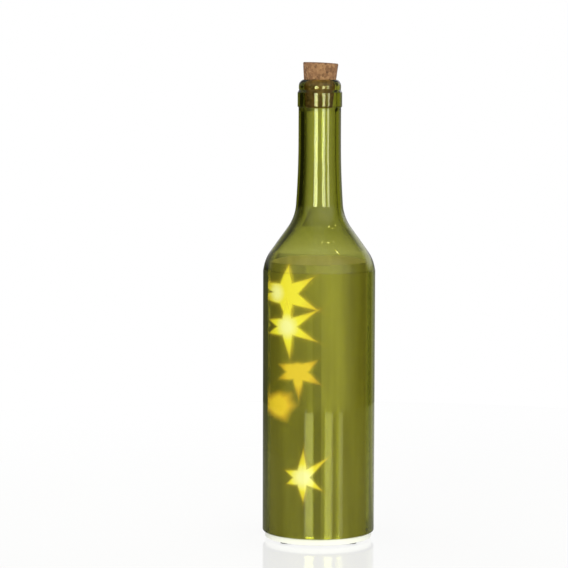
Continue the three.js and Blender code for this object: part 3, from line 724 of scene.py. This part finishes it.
# Silicone, pressed in a polished tool: milky, soft sheen
siliconeLook = {"pale": "E4E6DE", "dull": "D6D9CF", "patch": 12, "grain": 0.6, "depth": 0.01,
                "roughness": 0.5, "ior": 1.41}
silicone = grained("MilkySiliconePressed", siliconeLook)
gasket = {"inner": 32.79, "outer": 34.84, "low": 4.2, "high": 4.8, "round": 0.25, "steps": 128}


def gasketProfile():
    g, quarter = gasket, math.pi / 2
    r = g["round"]
    inner, outer, low, high = g["inner"] + r, g["outer"] - r, g["low"] + r, g["high"] - r
    profile = []
    for k, (radius, height) in enumerate(((outer, low), (outer, high), (inner, high), (inner, low))):
        profile += arc(radius, height, r, quarter * (k - 1), quarter * k, 3)
    return profile


piece = turnedPiece("glass_seal", gasketProfile(), gasket["steps"], [silicone], closed=True)
dress(piece, "bottle", "silicone", "glass_gasket")

# Neoprene rubber, cut from calendered sheet: dull dark grey with a fine dusty grain
rubberLook = {"pale": "3A3A3C", "dull": "2B2B2D", "patch": 4, "grain": 0.3, "depth": 0.03,
              "roughness": 0.85, "ior": 1.52}
rubber = grained("DarkNeopreneCut", rubberLook)
foot = {"radius": 3.5, "height": 1.4, "round": 0.5, "steps": 40}
for i in range(1, 5):
    centre = middle(f"rubber_foot_{i}")
    bend = foot["round"]
    profile = [(0, 0)] + arc(foot["radius"] - bend, bend, bend, -math.pi / 2, 0, 5)
    profile += [(foot["radius"], foot["height"]), (0, foot["height"])]
    piece = turnedPiece(f"foot_{i}", profile, foot["steps"], [rubber], atAxis(centre.x, centre.y))
    dress(piece, "bottle", "rubber", f"rubber_foot_{i}")

grommet = {"bore": 0.9, "waist": 2.3, "lip": 3.4, "low": 19.7, "lowLip": 20.5, "highLip": 23.1, "high": 23.9,
           "round": 0.38, "bevel": 0.3, "root": 0.2, "steps": 40}


def grommetProfile():
    g, quarter = grommet, math.pi / 2
    r, bevel, root = g["round"], g["bevel"], g["root"]
    profile = [(g["bore"], g["low"] + bevel), (g["bore"] + bevel, g["low"])]
    profile += arc(g["lip"] - r, g["low"] + r, r, -quarter, quarter, 6)
    profile += [(g["waist"] + root, g["lowLip"]), (g["waist"], g["lowLip"] + root)]
    profile += [(g["waist"], g["highLip"] - root), (g["waist"] + root, g["highLip"])]
    profile += arc(g["lip"] - r, g["high"] - r, r, -quarter, quarter, 6)
    profile += [(g["bore"] + bevel, g["high"]), (g["bore"], g["high"] - bevel)]
    return profile


centre = middle("wire_grommet")
place = atAxis(centre.x, centre.y)
piece = turnedPiece("grommet", grommetProfile(), grommet["steps"], [rubber], place, closed=True)
dress(piece, "bottle", "rubber", "wire_grommet")
print("rubber and silicone built")

# Steel, stamped and nickel plated: bright grey metal with faint rolling patches
nickelLook = {"pale": "D2CFC8", "dull": "BBB8B0", "patch": 3, "grain": 0.5, "depth": 0.008,
              "roughness": 0.28, "metal": 1.0}
nickel = grained("NickelPlatedSteelStamped", nickelLook)
screw = {"shank": 1.1, "core": 0.82, "pitch": 0.9, "lead": 0.4, "point": 0.25, "firstCrest": 0.7,
         "plain": 1.2, "tip": 14.8, "under": 22.8, "top": 24.2, "head": 2.3, "edge": 23.25,
         "crossWide": 0.55, "crossLong": 2.4, "crossDeep": 0.75, "steps": 32}


def screwProfile():
    s = screw
    profile = [(0, s["tip"]), (s["point"], s["tip"])]
    turns = int((s["under"] - s["plain"] - s["tip"]) / s["pitch"])
    for k in range(turns):
        root = s["tip"] + s["pitch"] * (k + s["lead"])
        crest = s["shank"] if k else s["firstCrest"]
        profile += [(s["core"] * min(1, 0.5 + 0.5 * k), root), (crest, root + s["pitch"] * 0.45),
                    (crest, root + s["pitch"] * 0.55)]
    profile += [(s["shank"], s["under"] - s["plain"]), (s["shank"], s["under"])]
    profile += [(s["head"], s["under"]), (s["head"], s["edge"])]
    # domed head
    profile += [(s["head"] * math.cos(a), s["edge"] + (s["top"] - s["edge"]) * math.sin(a))
                for a in (0.3, 0.6, 0.85, 1.05)]
    return profile + [(s["head"] * 0.36, s["top"]), (0, s["top"])]


for i in range(1, 5):
    centre = middle(f"deck_screw_{i}")
    place = atAxis(centre.x, centre.y)
    piece = turnedPiece(f"screw_{i}", screwProfile(), screw["steps"], [nickel], place)
    cutters = []
    for wide, long in ((screw["crossWide"], screw["crossLong"]), (screw["crossLong"], screw["crossWide"])):
        low = (centre.x - wide / 2, centre.y - long / 2, screw["top"] - screw["crossDeep"])
        high = (centre.x + wide / 2, centre.y + long / 2, screw["top"] + 1)
        cutters.append(blocks("cutter", [(low, high, 0)], [nickel], 0))
    dress(carved(piece, *cutters), "bottle", "nickel", f"deck_screw_{i}")

# coil springs, their last half turns lying flat
spring = {"wire": 0.3, "base": 3.3, "tip": 2.2, "turns": 2.5, "plate": 24.0, "cell": 21.1, "flat": 0.16,
          "steps": 100, "sides": 8}
for i, side in ((1, -1), (2, 1), (3, -1)):
    centre = middle(f"battery_cell_{i}")
    path = []
    for k in range(spring["steps"] + 1):
        share = k / spring["steps"]
        climb = max(0.0, min(1.0, (share - spring["flat"]) / (1 - 2 * spring["flat"])))
        reach = spring["base"] + (spring["tip"] - spring["base"]) * share
        angle = 2 * math.pi * spring["turns"] * share
        along = side * (spring["plate"] + (spring["cell"] - spring["plate"]) * climb)
        path.append(Vector((along, centre.y + reach * math.cos(angle), centre.z + reach * math.sin(angle))))
    vertices, faces = tube(path, spring["wire"], spring["sides"])
    dress(newPiece(f"spring_{i}", vertices, faces, nickel, sharp=60), "bottle", "nickel", f"cell_spring_{i}")

for node in ("negative_contact", "positive_contact", "right_bridge_contact", "left_bridge_contact"):
    dress(mouldedCopy(node.replace("contact", "plate"), node, nickel, bevel=0.1), "bottle", "nickel", node)
dress(mouldedCopy("switch_shell", "switch_case", nickel, bevel=0.15), "bottle", "nickel", "switch_case")
print("metal parts built")

# Cell in a shrunk PVC sleeve: glossy dark green with one pale band, bare nickel ends
sleeveLook = {"pale": "2F6B48", "dull": "28603F", "patch": 9, "grain": 2.5, "depth": 0.01,
              "roughness": 0.3, "ior": 1.53}
bandLook = dict(sleeveLook, pale="DDDDD2", dull="D2D2C6")
sleeve, band = grained("GreenPvcSleeveShrunk", sleeveLook), grained("PalePvcSleeveShrunk", bandLook)
cell = {"radius": 5.25, "length": 44.5, "nub": 1.9, "nubHeight": 0.8, "band": (33.5, 39.0), "steps": 48,
        "dish": 0.2, "dishRadius": 3.9, "rim": 4.2, "edge": [(0.75, 0), (0.35, 0.06), (0.1, 0.2), (0, 0.45)],
        "moat": 0.25, "moatOuter": 4.3, "moatInner": 2.2, "nubEdge": 0.25}


def cellProfile():
    c = cell
    radius, nub, end = c["radius"], c["nub"], c["length"]
    top, moat = end - c["nubHeight"], end - c["nubHeight"] - c["moat"]
    profile = [(0, c["dish"]), (c["dishRadius"], c["dish"]), (c["rim"], 0)]
    profile += [(radius - inset, height) for inset, height in c["edge"]]
    profile += [(radius, height) for height in c["band"]]
    profile += [(radius - inset, top - height) for inset, height in reversed(c["edge"])]
    profile += [(c["moatOuter"], moat), (c["moatInner"], moat), (nub, top)]
    profile += [(nub, end - c["nubEdge"]), (nub - c["nubEdge"], end), (0, end)]
    # bare foot, sleeve, band, sleeve, bare shoulder and nub
    return profile, [2] * 3 + [0] * 4 + [1] + [0] * 4 + [2] * 6


for i, side in ((1, 1), (2, -1), (3, 1)):
    centre = middle(f"battery_cell_{i}")
    profile, kinds = cellProfile()
    under = centre.x - side * cell["length"] / 2
    flat = Matrix.Rotation(side * math.pi / 2, 4, "Y")
    lay = Matrix.Translation((under * mm, centre.y * mm, centre.z * mm)) @ flat
    piece = turnedPiece(f"cell_{i}", profile, cell["steps"], [sleeve, band, nickel], lay, kinds)
    dress(piece, "bottle", "cell_jacket", f"battery_cell_{i}")
print("cells built")

# Glass fibre laminate under green solder mask: satin green with paler tracks
boardLook = {"mask": "1F5A34", "track": "3C8350", "trackSize": 2.4, "roughness": 0.35, "ior": 1.55}


def boardMaterial():
    look = boardLook
    material, tree = newMaterial("SolderMaskedLaminate")
    place = addNode(tree, "TexCoord").outputs["Object"]
    mask, track = linear(look["mask"]), linear(look["track"])
    tracks = addNode(tree, "TexBrick", {"Vector": place, "Color1": mask, "Color2": mask, "Mortar": track,
                                        "Scale": perMetre(look["trackSize"]), "Mortar Size": 0.12,
                                        "Brick Width": 1.6, "Row Height": 0.8})
    skin = addNode(tree, "BsdfPrincipled", {"Base Color": tracks, "Roughness": look["roughness"],
                                            "IOR": look["ior"]})
    addNode(tree, "OutputMaterial", {"Surface": skin})
    return material


dress(mouldedCopy("board", "circuit_board", boardMaterial(), bevel=0.08), "bottle", "board", "circuit_board")

# Filled epoxy, transfer moulded: matt charcoal
epoxyLook = {"pale": "2C2C2E", "dull": "242426", "patch": 2, "grain": 0.2, "depth": 0.02,
             "roughness": 0.6, "ior": 1.55}
epoxy = grained("CharcoalEpoxyMoulded", epoxyLook)
chip = {"inset": 0.75, "lift": 0.2, "legs": 4, "firstLeg": 0.6, "legPitch": 1.27, "legWide": 0.4,
        "legThick": 0.2, "legLong": 0.8, "legHeight": 0.55, "shank": 0.7, "edge": 0.05}


def chipBoxes():
    c = chip
    low, high = corners("timer_chip")
    boxes = [((low.x, low.y + c["inset"], low.z + c["lift"]), (high.x, high.y - c["inset"], high.z), 0)]
    shelf = low.z + c["legHeight"]
    for k in range(c["legs"]):
        x = low.x + c["firstLeg"] + c["legPitch"] * k
        left, right = x - c["legWide"] / 2, x + c["legWide"] / 2
        # each leg leaves the side of the body and bends down to the board
        for outer, way in ((low.y, 1), (high.y, -1)):
            near, far = sorted((outer, outer + way * c["legLong"]))
            boxes.append(((left, near, shelf), (right, far, shelf + c["legThick"]), 1))
            near, far = sorted((outer, outer + way * c["legThick"]))
            boxes.append(((left, near, low.z), (right, far, low.z + c["shank"]), 1))
    return boxes


dress(blocks("chip", chipBoxes(), [epoxy, nickel], chip["edge"]), "bottle", "black_plastic", "timer_chip")
resistor = {"cap": 0.5, "bar": 0.4, "inset": 0.03, "edge": 0.04}
low, high = corners("resistor")
inset = Vector((resistor["bar"], resistor["inset"], resistor["inset"]))
boxes = [(low, (low.x + resistor["cap"], high.y, high.z), 1),
         ((high.x - resistor["cap"], low.y, low.z), high, 1), (low + inset, high - inset, 0)]
piece = blocks("chip_resistor", boxes, [epoxy, nickel], resistor["edge"])
dress(piece, "bottle", "black_plastic", "resistor")

# ABS in black, injection moulded in a polished tool: deep black with a soft shine
blackLook = {"pale": "222224", "dull": "1B1B1D", "patch": 3, "grain": 0.4, "depth": 0.01,
             "roughness": 0.35, "ior": 1.53}
black = grained("BlackAbsMoulded", blackLook)
knob = {"grooves": 3, "pitch": 1.0, "wide": 0.4, "deep": 0.35, "edge": 0.08}
piece = mouldedCopy("knob", "switch_knob", black, bevel=0)
low, high = corners("switch_knob")
cutters = []
for k in range(knob["grooves"]):
    x = (low.x + high.x) / 2 + (k - (knob["grooves"] - 1) / 2) * knob["pitch"]
    start = (x - knob["wide"] / 2, low.y - 1, low.z - 1)
    end = (x + knob["wide"] / 2, high.y + 1, low.z + knob["deep"])
    cutters.append(blocks("cutter", [(start, end, 0)], [black], 0))
piece = carved(piece, *cutters)
breakEdges(piece, knob["edge"])
dress(piece, "knob", "black_plastic", "switch_knob")

# PVC, extruded over the lead: smooth, slightly waxy
redLook = {"pale": "A8201E", "dull": "96191A", "patch": 5, "grain": 1.0, "depth": 0.01,
           "roughness": 0.4, "ior": 1.54}
leadLook = dict(redLook, pale="262628", dull="1E1E20")
blackPvc, redPvc = grained("BlackPvcExtruded", leadLook), grained("RedPvcExtruded", redLook)
for name, node, material, slot in (("black_wire", "black_lead", blackPvc, "black_plastic"),
                                   ("red_wire", "red_lead", redPvc, "red_plastic")):
    piece = mouldedCopy(name, node, material, bevel=0)
    smooth(piece.data, sharp=60)
    dress(piece, "bottle", slot, node)
print("board and switch built")

# Copper, drawn and enamelled: pinkish metal under clear varnish
copperLook = {"pale": "C98A62", "dull": "B67650", "patch": 4, "grain": 0.6, "depth": 0.005,
              "roughness": 0.25, "metal": 1.0}
# Epoxy, dropped on the lit chip and cured: glassy, warm white from inside
dropLook = {"pale": "FFF6DA", "dull": "FCEDC4", "patch": 2, "grain": 0.8, "depth": 0.01,
            "roughness": 0.12, "ior": 1.53, "lit": "FFE9B0", "glow": 0.8}
copper, drop = grained("EnamelledCopperDrawn", copperLook), grained("EpoxyDropLit", dropLook)
wire = {"strand": 0.28, "reach": 0.29, "pitch": 5.0, "beside": 4.5, "steps": 44, "sides": 7,
        "start": [(-8, -22.15, 7.95), (-8, -22.15, 10.65), (-8, -19, 19.2), (-8, -19, 24.4)]}
led = {"count": 5, "radius": 2.0, "half": 2.68, "bore": 0.75, "rows": 12, "steps": 28}
leds = [middle(f"led_{i + 1}") for i in range(led["count"])]
route = list(wire["start"])
for x, y, z in sorted(leds, key=lambda p: p.z):
    route += [(x, y, z + shift) for shift in (-wire["beside"], 0, wire["beside"])]


def strand(path, start):
    # one wire of the twisted pair
    points, along, last = [], 0.0, path[0]
    for point, side, up in frames(path):
        along += (point - last).length
        last = point
        angle = start + 2 * math.pi * along / wire["pitch"]
        points.append(point + wire["reach"] * (side * math.cos(angle) + up * math.sin(angle)))
    return points


path = smoothPath(route, wire["steps"])
pair = [tube(strand(path, start), wire["strand"], wire["sides"]) for start in (0, math.pi)]
vertices = pair[0][0] + pair[1][0]
faces = pair[0][1] + [tuple(i + len(pair[0][0]) for i in face) for face in pair[1][1]]
dress(newPiece("twisted_wire", vertices, faces, copper, sharp=60), "bottle", "copper", "led_wire")
dropProfile = []
for k in range(led["rows"] + 1):
    angle = math.pi * (k / led["rows"] - 0.5)
    bulge = (led["radius"] - led["bore"]) * math.cos(angle)
    dropProfile.append((led["bore"] + bulge, led["half"] * math.sin(angle)))
for i, centre in enumerate(leds):
    place = Matrix.Translation(centre * mm)
    piece = turnedPiece(f"led_drop_{i + 1}", dropProfile, led["steps"], [drop], place, closed=True, sharp=60)
    dress(piece, "bottle", "led", f"led_{i + 1}")
print("LED wire built")


view = {"distance": 1.7, "height": 0.331, "aside": -0.0229, "tilt": 5.51, "roll": 0.163,
        "focalPixels": 2619, "imagePixels": 568, "sensor": 36, "farthest": 50}


def addCamera():
    data = bpy.data.cameras.new("camera")
    data.sensor_width = view["sensor"]
    data.lens = view["focalPixels"] / view["imagePixels"] * data.sensor_width
    data.clip_end = view["farthest"]
    camera = bpy.data.objects.new("camera", data)
    camera.location = (view["aside"], -view["distance"], view["height"])
    tilt = Matrix.Rotation(math.radians(90 - view["tilt"]), 4, "X")
    camera.rotation_euler = (tilt @ Matrix.Rotation(math.radians(view["roll"]), 4, "Z")).to_euler()
    scene.collection.objects.link(camera)
    scene.camera = camera


addCamera()

studio = {
    "tableRadius": 0.638, "tableDrop": 0.05, "tableSteps": 96, "tableWhite": 0.86, "tableFade": (0.25, 0.55),
    "tableGloss": 0.18, "tablePolish": 0.05, "tableFront": 0.06, "tableSides": 0.3, "underlit": 0.025,
    "dark": 0.05, "room": 0.94, "mirrored": 0.3,
}
# what the glass and the film see round them: turn from straight behind towards +X, half width and soft edge
# in degrees, and the level of what is alike at every height
roomSides = {
    "backdrop": {"turn": 20, "half": 34, "soft": 12},
    "backdropFoot": {"turn": 18, "half": 23, "soft": 7, "level": 0.88},
    "front": {"turn": 180, "half": 70, "soft": 14, "level": 0.5},
    "frontRight": {"turn": 146, "half": 38, "soft": 22, "level": 0.4},
    "leftWall": {"turn": -32, "half": 26, "soft": 12},
    "rightWall": {"turn": 36, "half": 22, "soft": 12},
}
# what changes with the height of a direction: where the change starts and ends, and the levels there
roomHeights = {
    "fullWidth": (-0.079, -0.0675, 0.0, 1.0),
    "backdrop": (0.19, 0.38, 0.9, 0.34),
    "leftBelowFlag": (-0.0965, -0.0675, 0.2, 0.0),
    "leftAboveFlag": (-0.005, 0.025, 0.0, 0.2),
    "rightWall": (0.13, 0.23, 0.0, 0.4),
    "ceiling": (0.2, 0.6, 0.0, 0.25),
    "fullMirror": (0.035, 0.115, 0.0, 1.0),
}
# strip lights: turn from the camera's side towards +X, width, radiance
strips = [
    {"turn": -20.5, "width": 0.48, "glow": 12},
    {"turn": 20.5, "width": 0.42, "glow": 9.5},
    {"turn": 45.5, "width": 0.25, "glow": 8.4},
]
stripSet = {"away": 1.5, "low": 0.106, "high": 0.395, "colour": "FBFFC4"}


def lobe(tree, direction, spot):
    # 1 within the half width of a direction, fading to 0 beyond it
    turn = math.radians(spot["turn"])
    outer, inner = (math.cos(math.radians(spot["half"] + soft)) for soft in (spot["soft"], -spot["soft"]))
    facing = addNode(tree, "VectorMath", {0: direction, 1: (math.sin(turn), math.cos(turn), 0)},
                     operation="DOT_PRODUCT").outputs["Value"]
    return addNode(tree, "MapRange", {"Value": facing, "From Min": outer, "From Max": inner},
                   interpolation_type="SMOOTHSTEP")


# Acrylic sheet, cast in white and polished: an even bright white that mirrors the foot of the bottle faintly
def tableMaterial():
    material, tree = newMaterial("WhiteAcrylicTable")
    rays = addNode(tree, "LightPath").outputs
    place = addNode(tree, "TexCoord").outputs["Object"]
    seen = addNode(tree, "Math", {0: rays["Is Camera Ray"], 1: rays["Is Glossy Ray"]}, operation="ADD")
    seen = addNode(tree, "Math", {0: seen, 1: rays["Is Transmission Ray"]}, operation="ADD", use_clamp=True)
    reach = addNode(tree, "VectorMath", {0: place}, operation="LENGTH").outputs["Value"]
    near, far = studio["tableFade"]
    share = addNode(tree, "MapRange", {"Value": reach, "From Min": near, "From Max": far,
                                       "To Min": studio["tableWhite"], "To Max": 1.0})
    amount = addNode(tree, "Math", {0: seen, 1: share}, operation="MULTIPLY")
    matt = addNode(tree, "BsdfDiffuse", {"Color": linear("F6F6F4")})
    # only the part before the backdrop is bright in the glass, and it is dimmer in reflections off the glass
    outward = addNode(tree, "VectorMath", {0: place}, operation="NORMALIZE")
    front = addNode(tree, "MapRange", {"Value": lobe(tree, outward, roomSides["front"]),
                                       "To Min": studio["tableSides"], "To Max": studio["tableFront"]})
    bright = addNode(tree, "MapRange", {"Value": lobe(tree, outward, roomSides["backdropFoot"]),
                                        "To Min": front, "To Max": 1.0})
    through = addNode(tree, "MapRange", {"Value": rays["Is Transmission Ray"], "To Min": studio["mirrored"],
                                         "To Max": 1.0})
    dim = addNode(tree, "Math", {0: bright, 1: through}, operation="MULTIPLY")
    level = addNode(tree, "Math", {0: rays["Is Camera Ray"], 1: dim}, operation="MAXIMUM")
    shine = addNode(tree, "Emission", {"Color": linear("FFFFFF"), "Strength": level})
    body = addNode(tree, "MixShader", {0: amount, 1: matt, 2: shine})
    gloss = addNode(tree, "BsdfGlossy", {"Color": linear("FFFFFF"), "Roughness": studio["tablePolish"]})
    mix = addNode(tree, "MixShader", {0: studio["tableGloss"], 1: body, 2: gloss})
    # clear from below, and it lets room light reach the underside of the base, so that this can be looked at
    close = addNode(tree, "Math", {0: rays["Ray Length"], 1: studio["underlit"]}, operation="LESS_THAN")
    under = addNode(tree, "Math", {0: close, 1: rays["Is Diffuse Ray"]}, operation="MULTIPLY")
    back = addNode(tree, "NewGeometry").outputs["Backfacing"]
    under = addNode(tree, "Math", {0: under, 1: back}, operation="MAXIMUM")
    clear = addNode(tree, "BsdfTransparent")
    mix = addNode(tree, "MixShader", {0: under, 1: mix, 2: clear})
    addNode(tree, "OutputMaterial", {"Surface": mix})
    return material


def addTable():
    # a hair below the feet, so that the two surfaces never coincide
    height = -studio["tableDrop"]
    vertices, faces = turned([(studio["tableRadius"] / mm, height), (0, height)], studio["tableSteps"])
    material = tableMaterial()
    material.cycles.emission_sampling = "NONE"
    table = newPiece("table", vertices, faces, material)


def addStrips():
    for i, strip in enumerate(strips):
        tall = stripSet["high"] - stripSet["low"]
        data = bpy.data.lights.new(f"strip_{i + 1}", "AREA")
        data.shape = "RECTANGLE"
        data.size, data.size_y = strip["width"], tall
        data.energy = strip["glow"] * math.pi * strip["width"] * tall
        data.color = linear(stripSet["colour"])[:3]
        lamp = bpy.data.objects.new(f"strip_{i + 1}", data)
        angle = math.radians(strip["turn"])
        lamp.location = (stripSet["away"] * math.sin(angle), -stripSet["away"] * math.cos(angle),
                         (stripSet["high"] + stripSet["low"]) / 2)
        lamp.rotation_euler = (math.radians(90), 0, angle)
        lamp.visible_camera = False
        scene.collection.objects.link(lamp)


def addWorld():
    world = bpy.data.worlds.new("studio")
    world.use_nodes = True
    tree = world.node_tree
    tree.nodes.clear()
    rays = addNode(tree, "LightPath").outputs
    around = addNode(tree, "TexCoord").outputs["Generated"]
    height = addNode(tree, "SeparateXYZ", {0: around}).outputs["Z"]
    side = {name: lobe(tree, around, spot) for name, spot in roomSides.items()}
    climb = {}
    for name, (start, end, low, high) in roomHeights.items():
        climb[name] = addNode(tree, "MapRange", {"Value": height, "From Min": start, "From Max": end,
                                                 "To Min": low, "To Max": high})
    # the backdrop is narrower at its foot and fades towards its top
    foot = addNode(tree, "Math", {0: side["backdropFoot"], 1: roomSides["backdropFoot"]["level"]},
                   operation="MULTIPLY")
    paper = addNode(tree, "Mix", {0: climb["fullWidth"], 2: foot, 3: side["backdrop"]})
    # pale wall on the left, behind a black flag that covers it at the height of the neck
    wall = addNode(tree, "Math", {0: climb["leftBelowFlag"], 1: climb["leftAboveFlag"]}, operation="MAXIMUM")
    level = studio["dark"]
    for share, amount in ((side["front"], roomSides["front"]["level"]),
                          (side["frontRight"], roomSides["frontRight"]["level"]), (paper, climb["backdrop"]),
                          (side["leftWall"], wall), (side["rightWall"], climb["rightWall"])):
        level = addNode(tree, "Math", {0: share, 1: amount, 2: level}, operation="MULTIPLY_ADD",
                        use_clamp=True)
    level = addNode(tree, "Math", {0: level, 1: climb["ceiling"]}, operation="MAXIMUM")
    # near the floor the room is dimmer in reflections off the glass than seen through it
    through = addNode(tree, "Math", {0: rays["Is Transmission Ray"], 1: climb["fullMirror"]},
                      operation="MAXIMUM")
    through = addNode(tree, "MapRange", {"Value": through, "To Min": studio["mirrored"], "To Max": 1.0})
    level = addNode(tree, "Math", {0: level, 1: through}, operation="MULTIPLY")
    seen = addNode(tree, "Math", {0: rays["Is Glossy Ray"], 1: rays["Is Transmission Ray"]}, operation="ADD",
                   use_clamp=True)
    even, scenery, white = (addNode(tree, "Background", {"Color": linear("FFFFFF"), "Strength": strength})
                            for strength in (studio["room"], level, 1.0))
    mix = addNode(tree, "MixShader", {0: seen, 1: even, 2: scenery})
    mix = addNode(tree, "MixShader", {0: rays["Is Camera Ray"], 1: mix, 2: white})
    addNode(tree, "OutputWorld", {"Surface": mix})
    world.cycles.sampling_method = "NONE"
    scene.world = world


addTable()
addStrips()
addWorld()
scene.view_settings.view_transform = "Standard"
print("camera, table and lights set")
